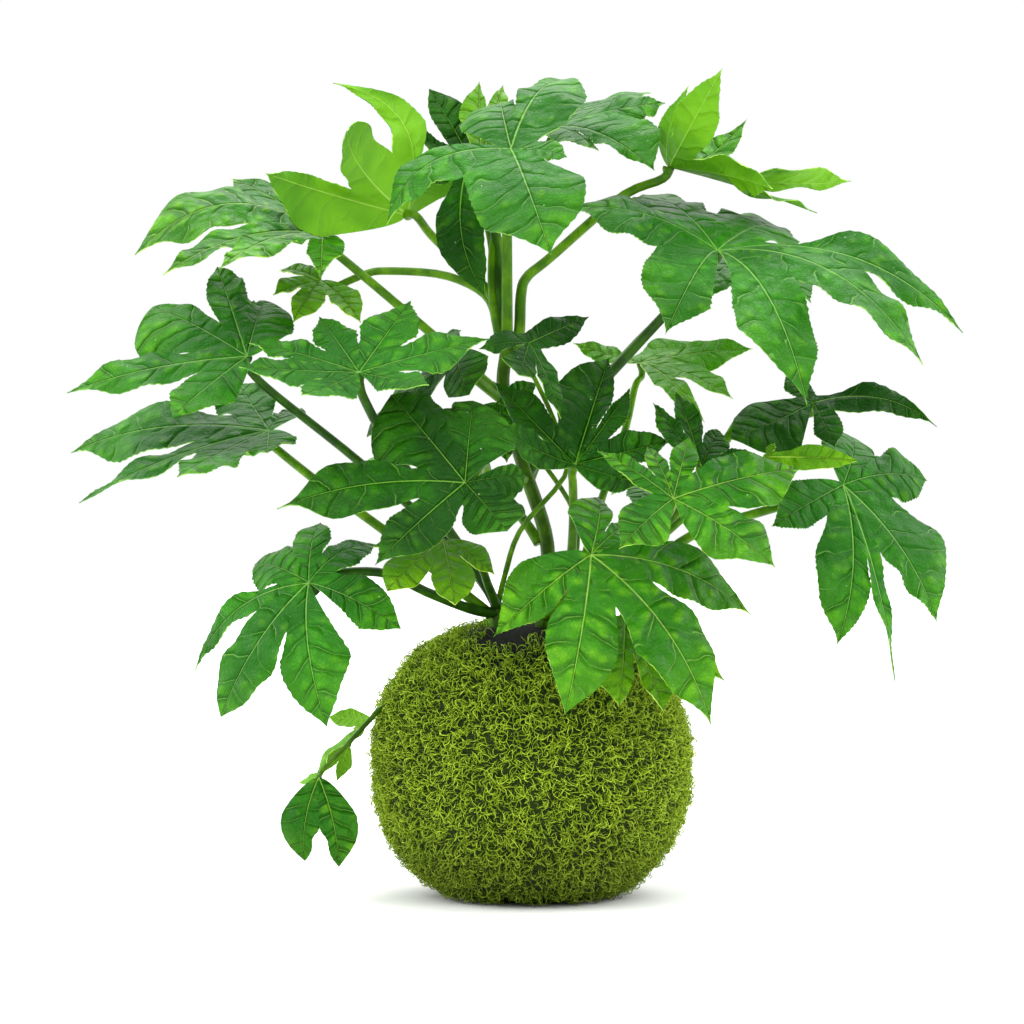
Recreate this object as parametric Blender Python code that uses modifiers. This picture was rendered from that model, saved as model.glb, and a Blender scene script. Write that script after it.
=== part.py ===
"""A fatsia japonica grown in a moss ball: lobed leaves on long stalks, three leafy shoots,
a trailing side shoot, the soil they stand in and the moss that wraps it.

World frame: metres, +Z up, origin in the middle of the ball's flat base, -Y towards the viewer.
Leaf places are written in millimetres as (x, y, z). y is the depth, less than 0 in front of the
ball's axis. x and z are where the point is seen from VIEW_POINT on the upright plane y = 0.
"""

import math
from dataclasses import dataclass, field

import bmesh
import bpy
from mathutils import Matrix, Vector, noise

MM = 0.001
GAP = 0.3 * MM
VIEW_POINT = Vector((-9.5, -1500.0, 191.5))

# Moss ball
BALL_RADIUS = 78.0 * MM
BALL_HEART = 65.0 * MM
BALL_RISE = 72.0 * MM
BALL_DROP = 72.0 * MM
TOP_FULLNESS = 2.4
BASE_FULLNESS = 2.2
BALL_RINGS = 22
BALL_SIDES = 40
MOSS_RELIEF = 1.6 * MM
MOSS_CLUMP = 13.0 * MM

# Soil plug in the crown of the ball
SOIL_RADIUS = 25.0 * MM
SOIL_BOTTOM = 108.0 * MM
SOIL_TOP = 131.0 * MM
SOIL_MOUND = 3.0 * MM
SOIL_SIDES = 28

# Leaf blades
BLADE = 0.8 * MM
STALK_STUB = 7.0 * MM
SEAT = 0.35 * MM
MID_ROWS = (0.0, 0.17, 0.40, 0.62, 0.84, 1.0)
EDGE_ROWS = (0.0, 0.0, 0.33, 0.62, 0.86, 1.0)
NOTCH_ROWS = (0.0, 0.14, 0.38, 0.62, 0.86, 1.0)
SINUS = 0.42
NECK = 0.72
BELLY_AT = 0.36
NOTCH_BELLY_AT = 0.48
TAPER = (2.0, 0.8)
NAMED_NECK = 1.0
ROOM = 0.5
NAMED_ROOM = 0.62
LEAST_SHARE = 0.32
NOTCH_ROOM = 0.72
WIDEST_HALF = math.radians(80)
BEND_AT = 0.52
ARCH = 0.08
FOLD = 0.13
SWELL = 0.9

# Stalks
STALK_SIDES = 1
STALK_POINTS = 9
STALK_FLARE = 0.35
STEM_POINTS = 3
SOIL_ROOT = 112.0


@dataclass
class Leaf:
    """One leaf: its hub, its lobe tips and the way its stalk runs down to the shoot.

    Tips go round the hub counterclockwise as seen from the glossy side, starting beside the
    stalk's notch. After its place, a tip may add its half width, how far it rolls over in
    degrees, and how far its midrib bows to the right and rises between hub and tip. Widths,
    bows and rises are parts of a lobe's length. arch is the rise of the tips that name none.
    tapers gives a tip's number its fullness, 3 for a round end and 1.5 for a slim one, and how
    thinly its point is drawn out. webs gives how far the web after a tip reaches, where it isn't
    the leaf's sinus. fold is how steeply a lobe's halves rise from its midrib.
    """

    hub: tuple
    tips: list
    finish: str
    width: float = 0.25
    stalk: list = field(default_factory=list)
    shoot: str = ""
    thick: float = 2.1
    sinus: float = SINUS
    arch: float = ARCH
    fold: float = FOLD
    tapers: dict = field(default_factory=dict)
    webs: dict = field(default_factory=dict)


LEAVES = {
    "leaf_upper_right": Leaf(
        hub=(93, -10, 322),
        tips=[(138, -85, 245, 0.28, 0, 0.04), (196, -58, 265, 0.24, 0, 0, 0.3),
              (216, -15, 281, 0.14, -25, 0, 0.28), (125, 74, 333, 0.25, 0, 0, 0.06),
              (56, 60, 350, 0.25, 0, 0, 0.08), (17, 0, 343, 0.28), (67, -66, 280, 0.32)],
        finish="mature",
        stalk=[(64, 5, 287), (40, 12, 261), (22, 10, 242), (6, 6, 222), (-3, 1, 209)],
        shoot="shoot_main",
        thick=2.4,
        sinus=0.46,
        arch=0.2,
        webs={3: 0.7, 5: 0.8},
    ),
    "leaf_top_right": Leaf(
        hub=(69, 25, 364),
        tips=[(79, 5, 405, 0.15), (96, -20, 414, 0.18), (121, -8, 353, 0.21, 50),
              (160, 35, 357, 0.22, 35), (143, 60, 341, 0.18), (108, 65, 388, 0.14)],
        finish="bright",
        stalk=[(45, 22, 349), (10, 12, 319), (-2, 8, 309), (-5, 5, 300), (-6, 3, 280), (-10, 1, 264)],
        shoot="shoot_main",
        thick=2.3,
        sinus=0.5,
        arch=0.16,
    ),
    "leaf_top_front": Leaf(
        hub=(-10, -40, 373),
        tips=[(-72, -58, 335, 0.17, 0, 0.42), (10, -100, 320, 0.32), (18, -58, 369, 0.3),
              (19, 34, 407, 0.28), (-15, 18, 395, 0.34)],
        finish="mature",
        stalk=[(-12, -14, 348), (-12, -6, 330), (-12, -3, 295), (-12, 0, 274)],
        shoot="shoot_main",
        thick=2.3,
        arch=0.14,
        tapers={1: (2.2, 0.6), 4: (3.0, 0.1)},
        webs={0: 0.5, 1: 0.7},
    ),
    "leaf_top_side": Leaf(
        hub=(-28, 24, 364),
        tips=[(-51, 42, 403, 0.22), (-58, 34, 386, 0.11, 0, -0.2)],
        finish="dark",
        stalk=[(-26, 20, 350), (-20, 13, 326), (-18, 7, 300), (-13, 2, 270)],
        shoot="shoot_main",
        thick=1.6,
        tapers={0: (2.4, 0.3)},
    ),
    "leaf_top_hanging": Leaf(
        hub=(-31, -5, 368),
        tips=[(-52, 2, 356, 0.2), (-23, -9, 300, 0.2, 0, 0.22), (-20, -9, 352, 0.2)],
        finish="dark",
        stalk=[(-26, 7, 352), (-18, 7, 328), (-16, 4, 304), (-13, 2, 274)],
        shoot="shoot_main",
        thick=1.8,
        tapers={1: (2.4, 0.2)},
    ),
    "leaf_top_behind": Leaf(
        hub=(8, 52, 383),
        tips=[(34, 5, 372, 0.2), (62, -5, 362, 0.27, -28), (67, 36, 396, 0.2, -30), (60, 100, 401, 0.2),
              (10, 120, 385), (-32, 95, 378)],
        finish="mature",
        stalk=[(-10, 26, 352), (-18, 9, 330), (-19, 5, 300), (-15, 2, 276)],
        shoot="shoot_main",
        webs={1: 0.8},
    ),
    "leaf_top_young": Leaf(
        hub=(-25, 8, 368),
        tips=[(3, 48, 402, 0.16), (-14, 58, 405, 0.18), (-26, 38, 407, 0.2)],
        finish="yellow",
        stalk=[(-22, 8, 350), (-16, 8, 325), (-14, 6, 298), (-12, 3, 272)],
        shoot="shoot_main",
        thick=1.8,
    ),
    "leaf_upper_left": Leaf(
        hub=(-62, 20, 340),
        tips=[(-133, -48, 361, 0.23, 0, 0, 0.22), (-92, -54, 382, 0.45), (-99, 5, 406, 0.16, 0, -0.6),
              (-32, 16, 371, 0.3)],
        finish="bright",
        stalk=[(-49, 24, 329), (-30, 15, 311), (-19, 7, 298), (-14, 3, 280)],
        shoot="shoot_main",
        tapers={1: (3.0, 0.1)},
    ),
    "leaf_far_upper_left": Leaf(
        hub=(-104, 16, 330),
        tips=[(-100, 70, 343), (-150, 56, 358), (-198, 6, 320, 0.27, 20, 0, 0.4), (-184, -52, 310, 0.14),
              (-156, -75, 313, 0.14), (-105, -46, 308, 0.16)],
        finish="bright",
        stalk=[(-99, 14, 322), (-56, 12, 286), (-30, 8, 263), (-14, 2, 249)],
        shoot="shoot_main",
        arch=0.18,
        tapers={2: (2.2, 0.6)},
    ),
    "leaf_small_left": Leaf(
        hub=(-105, 14, 307),
        tips=[(-126, 30, 312, 0.26), (-129, -10, 300, 0.26), (-119, -22, 286, 0.26),
              (-85, -18, 286, 0.2)],
        finish="yellow",
        stalk=[(-84, 18, 310), (-72, 19, 312), (-44, 18, 310), (-24, 11, 301), (-17, 5, 288),
               (-13, 2, 272)],
        shoot="shoot_main",
        thick=1.9,
        fold=0.4,
    ),
    "leaf_left": Leaf(
        hub=(-142, -20, 269),
        tips=[(-133, 20, 297, 0.36), (-157, 28, 314, 0.36), (-189, 12, 294, 0.45),
              (-232, -34, 251, 0.15), (-180, -62, 238, 0.25)],
        finish="mature",
        stalk=[(-129, -14, 251), (-90, -12, 220), (-58, -10, 192), (-32, -6, 166), (-17, -3, 146)],
        shoot="shoot_left",
        thick=2.0,
        tapers={0: (2.6, 0.1), 1: (2.2, 0.4), 2: (3.4, 0.0)},
        webs={0: 0.9, 2: 0.42},
    ),
    "leaf_left_inner": Leaf(
        hub=(-86, -72, 261),
        tips=[(-51, -98, 255, 0.26), (-21, -62, 278, 0.26), (-60, -32, 297, 0.26), (-106, -36, 289, 0.26),
              (-141, -52, 276, 0.2), (-146, -84, 264, 0.27), (-115, -108, 250, 0.32)],
        finish="mature",
        stalk=[(-83, -63, 247), (-72, -50, 227), (-48, -26, 192), (-26, -10, 160), (-16, -4, 143)],
        shoot="shoot_left",
        thick=2.2,
        fold=0.2,
        tapers={1: (1.8, 0.9), 2: (1.7, 0.8), 3: (1.6, 0.7), 4: (1.8, 0.9)},
    ),
    "leaf_left_low": Leaf(
        hub=(-131, -10, 232),
        tips=[(-116, 28, 242), (-148, 48, 257), (-230, 14, 221, 0.2, 25, 0, 0.16), (-226, -45, 196, 0.1),
              (-177, -68, 209, 0.24), (-132, -62, 221, 0.26)],
        finish="mature",
        stalk=[(-126, -14, 222), (-102, -18, 203), (-73, -16, 182), (-45, -10, 160), (-20, -6, 140)],
        shoot="shoot_left",
        webs={4: 0.75},
    ),
    "leaf_centre_left": Leaf(
        hub=(-33, -88, 206),
        tips=[(-29, -60, 247, 0.45), (-70, -60, 250, 0.42), (-127, -92, 193, 0.18, 0, 0.09),
              (-78, -118, 165, 0.23), (-12, -110, 182, 0.4), (-3, -88, 210, 0.4)],
        finish="dark",
        stalk=[(-24, -62, 216), (-20, -40, 207), (-10, -14, 206), (-3, 0, 208)],
        shoot="shoot_main",
        sinus=0.36,
        tapers={0: (2.8, 0.1), 1: (2.6, 0.2), 2: (3.0, 2.4), 4: (2.8, 0.1), 5: (2.8, 0.1)},
        webs={0: 0.92, 4: 0.85},
    ),
    "leaf_front": Leaf(
        hub=(30, -76, 170),
        tips=[(-19, -98, 129, 0.28), (17, -116, 90, 0.26), (90, -100, 85, 0.19, 0, -0.12),
              (110, -62, 140, 0.2, 0, -0.16), (48, -38, 184), (34, -36, 199, 0.3)],
        finish="bright",
        stalk=[(26, -60, 158), (16, -36, 148), (7, -19, 140)],
        shoot="shoot_front",
        thick=2.4,
        sinus=0.36,
        tapers={1: (2.1, 0.4), 2: (2.0, 0.6)},
    ),
    "leaf_right_bright": Leaf(
        hub=(71, -86, 198),
        tips=[(122, -104, 164, 0.3), (135, -58, 213, 0.27), (79, -54, 229, 0.17), (58, -56, 224, 0.14),
              (33, -68, 222, 0.14), (44, -112, 173, 0.32)],
        finish="bright",
        stalk=[(66, -74, 187), (60, -62, 180), (38, -36, 160), (20, -13, 141)],
        shoot="shoot_right",
    ),
    "leaf_far_right": Leaf(
        hub=(156, 10, 205),
        tips=[(120, -16, 184, 0.28), (153, -28, 125, 0.22, 0, -0.1), (182, -24, 106, 0.08, 50),
              (203, -12, 136, 0.33, 0, -0.12), (198, 40, 207, 0.3, 0, -0.1), (160, 50, 229, 0.34)],
        finish="mature",
        stalk=[(150, 16, 201), (120, 8, 193), (83, -4, 181), (60, -6, 165), (36, -6, 148), (20, -8, 138)],
        shoot="shoot_right",
        thick=2.2,
        sinus=0.46,
        tapers={1: (2.4, 0.6), 5: (3.0, 0.1)},
        webs={4: 0.7},
    ),
    "leaf_right_flat": Leaf(
        hub=(141, 24, 246),
        tips=[(152, 4, 223, 0.26), (203, 6, 234, 0.13, -20, -0.28, 0.1), (127, 40, 259, 0.24),
              (100, 8, 228, 0.42, 0, -0.1)],
        finish="dark",
        stalk=[(128, 36, 240), (108, 30, 240), (98, 20, 228), (80, 14, 200), (50, 8, 166), (21, -3, 140)],
        shoot="shoot_right",
        tapers={1: (1.8, 1.2), 3: (2.8, 0.2)},
    ),
    "leaf_right_slip": Leaf(
        hub=(118, -20, 219),
        tips=[(120, -23, 212, 0.3), (163, -31, 217, 0.15), (122, -17, 226, 0.3)],
        finish="yellow",
        width=0.3,
        stalk=[(109, -14, 212), (90, -10, 200), (62, -10, 176), (36, -9, 152), (20, -9, 139)],
        shoot="shoot_right",
        thick=1.7,
        tapers={1: (2.6, 0.2)},
    ),
    "leaf_right_young": Leaf(
        hub=(55, 46, 266),
        tips=[(87, -14, 236, 0.12), (101, 0, 248, 0.2), (111, 44, 273, 0.22, -35),
              (92, 84, 271, 0.24, -30), (21, 56, 276, 0.2, 30)],
        finish="young",
        sinus=0.28,
        stalk=[(52, 42, 254), (47, 34, 232), (36, 22, 200), (26, 10, 166), (19, -2, 142)],
        shoot="shoot_right",
        thick=1.7,
    ),
    "leaf_right_dark": Leaf(
        hub=(85, -44, 214),
        tips=[(108, -48, 201, 0.3), (112, -38, 221, 0.26), (93, -20, 233, 0.3), (72, -14, 252, 0.2),
              (61, -30, 246, 0.22)],
        finish="dark",
        stalk=[(78, -36, 204), (54, -22, 180), (34, -14, 156), (19, -10, 142)],
        shoot="shoot_right",
        thick=1.8,
        fold=0.3,
    ),
    "leaf_centre_dark": Leaf(
        hub=(22, -50, 215),
        tips=[(58, -64, 206, 0.34), (70, -36, 227, 0.24), (50, -26, 254, 0.16), (39, 2, 269, 0.26),
              (-19, -34, 257, 0.17), (-14, -66, 234, 0.32)],
        finish="dark",
        stalk=[(21, -40, 204), (21, -26, 182), (19, -14, 156), (17, -10, 142)],
        shoot="shoot_right",
        thick=2.0,
        fold=0.4,
        tapers={0: (2.8, 0.1), 5: (2.4, 0.2)},
    ),
    "leaf_centre_upper": Leaf(
        hub=(-1, -30, 276),
        tips=[(-6, -60, 260, 0.4), (15, -54, 238, 0.15), (29, 2, 289, 0.17),
              (-26, -48, 273, 0.26)],
        finish="dark",
        stalk=[(0, -24, 262), (12, -26, 236), (18, -28, 212), (-5, -24, 183), (-13, -12, 160),
               (-17, -4, 143)],
        shoot="shoot_left",
        thick=1.1,
        tapers={0: (3.0, 0.1)},
    ),
    "leaf_inner_left": Leaf(
        hub=(-36, -34, 271),
        tips=[(-50, 12, 271, 0.28), (-82, -22, 229, 0.28), (-31, -58, 250, 0.45)],
        finish="dark",
        stalk=[(-30, -22, 260), (-13, -1, 246)],
        shoot="shoot_main",
        thick=1.8,
        tapers={1: (2.8, 0.1), 2: (3.0, 0.1)},
    ),
    "leaf_inner_young": Leaf(
        hub=(-16, -20, 246),
        tips=[(-34, -30, 230, 0.28), (-12, -25, 216, 0.28), (8, -30, 232, 0.28), (3, -14, 256, 0.24)],
        finish="bright",
        stalk=[(-12, -14, 238), (6, -18, 216), (22, -17, 190), (22, -12, 164), (18, -9, 142)],
        shoot="shoot_right",
        thick=1.1,
    ),
    "leaf_lower_left": Leaf(
        hub=(-111, -72, 156),
        tips=[(-65, -88, 133, 0.27), (-77, -42, 175, 0.24), (-105, -32, 186, 0.22), (-138, -38, 165, 0.3),
              (-168, -62, 112, 0.11, 0, 0.22), (-155, -88, 89, 0.25), (-102, -104, 84, 0.26, 0, 0.05)],
        finish="mature",
        stalk=[(-100, -58, 160), (-74, -42, 161), (-51, -27, 151), (-30, -12, 143), (-18, -5, 141)],
        shoot="shoot_left",
        sinus=0.38,
        tapers={0: (2.4, 0.3), 3: (1.6, 0.3), 5: (2.8, 0.1), 6: (2.2, 0.3)},
        webs={2: 0.7},
    ),
    "leaf_lower_bright": Leaf(
        hub=(-44, -60, 177),
        tips=[(-79, -62, 174, 0.3), (-72, -84, 152, 0.4), (-38, -92, 145, 0.36), (-18, -70, 160, 0.3)],
        finish="yellow",
        stalk=[(-27, -44, 166), (-21, -20, 154), (-17, -5, 144)],
        shoot="shoot_left",
        thick=1.8,
        tapers={1: (2.8, 0.1), 2: (2.6, 0.2)},
    ),
    "leaf_below_front": Leaf(
        hub=(47, -58, 140),
        tips=[(44, -92, 94, 0.34), (66, -86, 92, 0.34), (97, -66, 107, 0.24)],
        finish="yellow",
        stalk=[(38, -46, 140), (18, -26, 144), (7, -18, 138)],
        shoot="shoot_front",
        thick=1.8,
        tapers={0: (2.4, 0.5), 1: (2.4, 0.5)},
    ),
    "leaf_back_right": Leaf(
        hub=(108, 108, 318),
        tips=[(84, 60, 296), (140, 70, 296), (168, 116, 304), (132, 172, 312), (82, 168, 318),
              (62, 128, 312)],
        finish="mature",
        stalk=[(84, 84, 300), (62, 46, 285), (40, 30, 262), (20, 20, 240), (4, 10, 218), (-2, 3, 204)],
        shoot="shoot_main",
    ),
    "leaf_back_left": Leaf(
        hub=(-42, 90, 232),
        tips=[(-22, 124, 230), (-54, 150, 232), (-84, 112, 214), (-76, 60, 212), (-40, 44, 214)],
        finish="mature",
        stalk=[(-36, 68, 222), (-20, 30, 206), (-4, 10, 188), (4, 4, 176)],
        shoot="shoot_main",
    ),
    "leaf_back_middle": Leaf(
        hub=(62, 92, 204),
        tips=[(52, 58, 192), (96, 60, 190), (118, 104, 196), (84, 146, 200), (40, 134, 200)],
        finish="mature",
        stalk=[(54, 74, 190), (36, 40, 168), (20, 26, 150), (8, 17, 142)],
        shoot="shoot_back",
    ),
    "leaf_back_low": Leaf(
        hub=(14, 84, 134),
        tips=[(52, 104, 104), (14, 128, 84), (-30, 112, 96), (-40, 76, 122)],
        finish="bright",
        stalk=[(16, 68, 132), (12, 40, 140), (6, 17, 140)],
        shoot="shoot_back",
    ),
    "leaflet_trailing_upper": Leaf(
        hub=(-80, -14, 88),
        tips=[(-89, -18, 83, 0.25), (-101, -10, 89, 0.3)],
        finish="young",
        stalk=[(-76, -25, 92)],
        shoot="shoot_trailing",
        thick=1.0,
        tapers={1: (2.4, 0.2)},
    ),
    "leaflet_trailing_tip": Leaf(
        hub=(-106, -45, 59),
        tips=[(-113, -47, 17, 0.29, 0, 0.14), (-96, -48, 14, 0.26, 0, -0.1)],
        finish="bright",
        stalk=[(-104, -40, 63)],
        shoot="shoot_trailing",
        thick=1.1,
        sinus=0.6,
        tapers={0: (2.8, 0.1), 1: (2.6, 0.2)},
    ),
    "leaflet_trailing_strap": Leaf(
        hub=(-105, -30, 61),
        tips=[(-116, -24, 56, 0.25), (-82, -14, 86, 0.22, 0, 0.36)],
        finish="bright",
        stalk=[(-104, -40, 63)],
        shoot="shoot_trailing",
        thick=1.0,
        tapers={1: (2.6, 0.1)},
    ),
    "leaflet_trailing_side": Leaf(
        hub=(-91, -31, 75),
        tips=[(-97, -28, 57, 0.26), (-103, -32, 62, 0.26)],
        finish="yellow",
        stalk=[(-92, -37, 75)],
        shoot="shoot_trailing",
        thick=0.8,
    ),
}

# Shoots: the way of each stem from the soil up, its radius at both ends
SHOOTS = {
    "shoot_main": ([(5, 3, SOIL_ROOT), (7, 3, 138), (8, 3, 176), (-3, 1, 212), (-11, 0, 238),
                    (-14, 0, 256), (-12, 1, 274)], 3.8, 3.2),
    "shoot_left": ([(-14, -3, SOIL_ROOT), (-16, -4, 134), (-18, -5, 148)], 3.8, 2.8),
    "shoot_right": ([(17, -8, SOIL_ROOT), (18, -9, 134), (19, -10, 148)], 3.8, 2.8),
    "shoot_front": ([(2, -17, SOIL_ROOT), (5, -18, 134), (8, -19, 144)], 3.6, 2.6),
    "shoot_back": ([(3, 17, SOIL_ROOT), (5, 17, 134), (8, 18, 146)], 3.6, 2.6),
}
TRAILING = [(-66, -16, 92), (-75, -24, 93), (-81, -30, 87), (-93, -37, 74), (-104, -40, 63)]
TRAILING_THICK = 1.5
TRAILING_THIN = 0.9

FINISHES = {
    "mature": ((0.040, 0.170, 0.045), 0.38),
    "dark": ((0.018, 0.095, 0.022), 0.32),
    "bright": ((0.085, 0.330, 0.040), 0.42),
    "young": ((0.180, 0.480, 0.070), 0.48),
    "yellow": ((0.270, 0.520, 0.025), 0.48),
    "stalk": ((0.180, 0.330, 0.030), 0.45),
    "moss": ((0.140, 0.230, 0.015), 0.95),
    "soil": ((0.012, 0.008, 0.005), 0.98),
}


def sight(place):
    """The real point, in metres, that is seen at x, z on the plane y = 0 and lies at depth y."""
    x, y, z = place[:3]
    spread = (y - VIEW_POINT.y) / -VIEW_POINT.y
    return Vector((
        VIEW_POINT.x + (x - VIEW_POINT.x) * spread,
        y,
        VIEW_POINT.z + (z - VIEW_POINT.z) * spread,
    )) * MM


def smooth(value):
    """An S-shaped step from 0 to 1."""
    value = min(max(value, 0.0), 1.0)
    return value * value * (3.0 - 2.0 * value)


def material(name, finish):
    """A Principled material with the finish's colour and roughness."""
    colour, roughness = FINISHES[finish]
    made = bpy.data.materials.new(name)
    made.use_nodes = True
    shader = made.node_tree.nodes["Principled BSDF"]
    shader.inputs["Base Color"].default_value = (*colour, 1.0)
    shader.inputs["Roughness"].default_value = roughness
    shader.inputs["Metallic"].default_value = 0.0
    return made


def add_object(name, bm, home, finish=None):
    """Makes an object of a bmesh in a collection, with a material of its own."""
    mesh = bpy.data.meshes.new(name)
    bm.to_mesh(mesh)
    bm.free()
    made = bpy.data.objects.new(name, mesh)
    home.objects.link(made)
    if finish:
        mesh.materials.append(material(name + "_finish", finish))
    return made


class Lobe:
    """One lobe of a leaf: its midrib bends from the leaf's plane at the hub to its tip."""

    def __init__(self, hub, tip, normal, bends, taper, fold):
        width, roll, bow, rise = bends
        ray = tip - hub
        self.normal = normal
        self.along = (ray - normal * ray.dot(normal)).normalized()
        self.right = self.along.cross(normal)
        self.length = ray.length
        self.belly = width * self.length
        self.roll = math.radians(roll)
        self.taper = taper
        self.fold = fold
        self.start = hub
        self.bend = hub + (self.along * BEND_AT + self.right * bow + normal * rise) * self.length
        self.tip = tip

    def point(self, flat):
        """Where a point of the flat leaf, a vector from the hub in its plane, lies on the bent lobe."""
        part = flat.dot(self.along) / self.length
        beside = flat.dot(self.right)
        rest = 1.0 - part
        rib = self.start * rest * rest + self.bend * 2.0 * part * rest + self.tip * part * part
        run = ((self.bend - self.start) * rest + (self.tip - self.bend) * part).normalized()
        up = self.right.cross(run)
        turn = self.roll * max(part, 0.0)
        side = self.right * math.cos(turn) + up * math.sin(turn)
        lift = self.fold * abs(beside) - SWELL * beside * beside / self.length
        return rib + side * beside + side.cross(run) * lift

    def free_width(self, step, neck, belly):
        """Half width of the free part, from the sinus at step 0 to the tip at step 1."""
        if step < BELLY_AT:
            return neck + (belly - neck) * smooth(step / BELLY_AT)
        return belly * self.narrowing((step - BELLY_AT) / (1.0 - BELLY_AT))

    def narrowing(self, part):
        """What is left of the full width, from the widest place at 0 to the tip at 1."""
        fullness, drip = self.taper
        return max(1.0 - part ** fullness, 0.0) ** (1.0 + drip * part)

    def notch_width(self, part):
        """Half width on the side of the stalk's notch, which is free from the hub on."""
        if part < NOTCH_BELLY_AT:
            return self.belly * (part / NOTCH_BELLY_AT) ** 0.6
        return self.belly * self.narrowing((part - NOTCH_BELLY_AT) / (1.0 - NOTCH_BELLY_AT))


def lobes_of(leaf):
    """The leaf's lobes, its hub and its normal on the glossy side."""
    hub = sight(leaf.hub)
    tips = [sight(tip) for tip in leaf.tips]
    normal = Vector()
    for first, second in zip(tips, tips[1:]):
        normal += (first - hub).cross(second - hub)
    normal.normalize()
    lobes = []
    for number, (place, tip) in enumerate(zip(leaf.tips, tips)):
        bends = (*place[3:], *(leaf.width, 0.0, 0.0, leaf.arch)[len(place) - 3:])
        lobes.append(Lobe(hub, tip, normal, bends, leaf.tapers.get(number, TAPER), leaf.fold))
    return lobes, hub, normal


def shares(first, second, normal):
    """Each lobe's share of the angle from the first to the second, by their widths."""
    turn = math.atan2(normal.dot(first.along.cross(second.along)), first.along.dot(second.along))
    share = first.belly / (first.belly + second.belly)
    share = min(max(share, LEAST_SHARE), 1.0 - LEAST_SHARE)
    return turn % math.tau * share, turn % math.tau * (1.0 - share)


def web_after(leaf, number):
    """How far the web after a tip reaches, as parts of the lobes' length and of their half width,
    and how much of the room beside it the lobes may fill."""
    if number in leaf.webs:
        return leaf.webs[number], NAMED_NECK, NAMED_ROOM
    return leaf.sinus, NECK, ROOM


def edge_point(lobe, other, angles, side, row, web):
    """A row's point on the lobe's edge in the flat leaf. side is 1 on the right, -1 on the left."""
    half, rest = angles
    room = math.tan(min(half, WIDEST_HALF))
    if other is None:
        part = NOTCH_ROWS[row]
        width = min(lobe.notch_width(part), NOTCH_ROOM * part * lobe.length * room)
        return lobe.along * part * lobe.length + lobe.right * side * width
    belly = min(lobe.belly, web[2] * lobe.length * room)
    least = min(lobe.belly / math.sin(half), other.belly / math.sin(rest))
    reach = min(web[0] * min(lobe.length, other.length), web[1] * least)
    sinus_point = (lobe.along * math.cos(half) + lobe.right * side * math.sin(half)) * reach
    if row == 0:
        return Vector()
    if row == 1:
        return sinus_point
    start = reach * math.cos(half) / lobe.length
    step = EDGE_ROWS[row]
    part = start + (1.0 - start) * step
    width = lobe.free_width(step, reach * math.sin(half), belly)
    return lobe.along * part * lobe.length + lobe.right * side * width


def blade(name, leaf, home):
    """The leaf's blade: a grid for each lobe, joined along the webs and given its thickness."""
    lobes, _, normal = lobes_of(leaf)
    bm = bmesh.new()
    rows = len(MID_ROWS) - 1
    for number, lobe in enumerate(lobes):
        before = lobes[number - 1] if number else None
        after = lobes[number + 1] if number + 1 < len(lobes) else None
        grid = bmesh.ops.create_grid(bm, x_segments=2, y_segments=rows, size=1.0)
        for vert in grid["verts"]:
            row = round((vert.co.y + 1.0) / 2.0 * rows)
            side = round(vert.co.x)
            if side == 0:
                vert.co = lobe.point(lobe.along * MID_ROWS[row] * lobe.length)
                continue
            other = before if side > 0 else after
            first, second = (before or lobes[-1], lobe) if side > 0 else (lobe, after or lobes[0])
            angles = shares(first, second, normal)
            angles = angles if side < 0 else angles[::-1]
            web = web_after(leaf, number - 1 if side > 0 else number)
            flat = edge_point(lobe, other, angles, side, row, web)
            place = lobe.point(flat)
            if other and row == 1:
                place = (place + other.point(flat)) / 2.0
            vert.co = place
    bmesh.ops.remove_doubles(bm, verts=bm.verts, dist=0.02 * MM)
    bmesh.ops.triangulate(bm, faces=bm.faces, quad_method="SHORT_EDGE")
    made = add_object(name, bm, home, leaf.finish)
    solid = made.modifiers.new("Thickness", "SOLIDIFY")
    solid.thickness = BLADE
    solid.offset = 0.0
    return made


def tube(name, places, radii, home):
    """A tube with welded caps along a smooth curve through the places."""
    curve = bpy.data.curves.new(name, "CURVE")
    curve.dimensions = "3D"
    curve.bevel_depth = 1.0
    curve.bevel_resolution = STALK_SIDES
    curve.use_fill_caps = True
    spline = curve.splines.new("POLY")
    spline.points.add(len(places) - 1)
    for point, place, radius in zip(spline.points, places, radii):
        point.co = (*place, 1.0)
        point.radius = radius
    holder = bpy.data.objects.new(name, curve)
    home.objects.link(holder)
    bpy.context.view_layer.update()
    mesh = bpy.data.meshes.new_from_object(holder.evaluated_get(bpy.context.evaluated_depsgraph_get()))
    bpy.data.objects.remove(holder)
    bpy.data.curves.remove(curve)
    bm = bmesh.new()
    bm.from_mesh(mesh)
    bpy.data.meshes.remove(mesh)
    bmesh.ops.remove_doubles(bm, verts=bm.verts, dist=0.001 * MM)
    return add_object(name, bm, home)


def curve_through(places, count):
    """Evenly numbered points on a smooth curve through the places, by Catmull and Rom's rule."""
    ends = [places[0] * 2.0 - places[1], *places, places[-1] * 2.0 - places[-2]]
    spans = len(places) - 1
    points = []
    for number in range(count):
        where = number / (count - 1) * spans
        span = min(int(where), spans - 1)
        part = where - span
        before, first, second, after = ends[span:span + 4]
        points.append(0.5 * (
            first * 2.0
            + (second - before) * part
            + (before * 2.0 - first * 5.0 + second * 4.0 - after) * part ** 2
            + (first * 3.0 - before - second * 3.0 + after) * part ** 3
        ))
    return points


def stalk_way(leaf):
    """The stalk's points, from just under the blade at the hub down to the shoot."""
    _, hub, normal = lobes_of(leaf)
    top = hub - normal * (BLADE / 2.0 + SEAT)
    if len(leaf.stalk) == 1:
        return [top, sight(leaf.stalk[0])]
    below = hub - normal * STALK_STUB
    way = curve_through([below, *map(sight, leaf.stalk)], max(STALK_POINTS, 2 * len(leaf.stalk)))
    return [top, *way]


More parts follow.
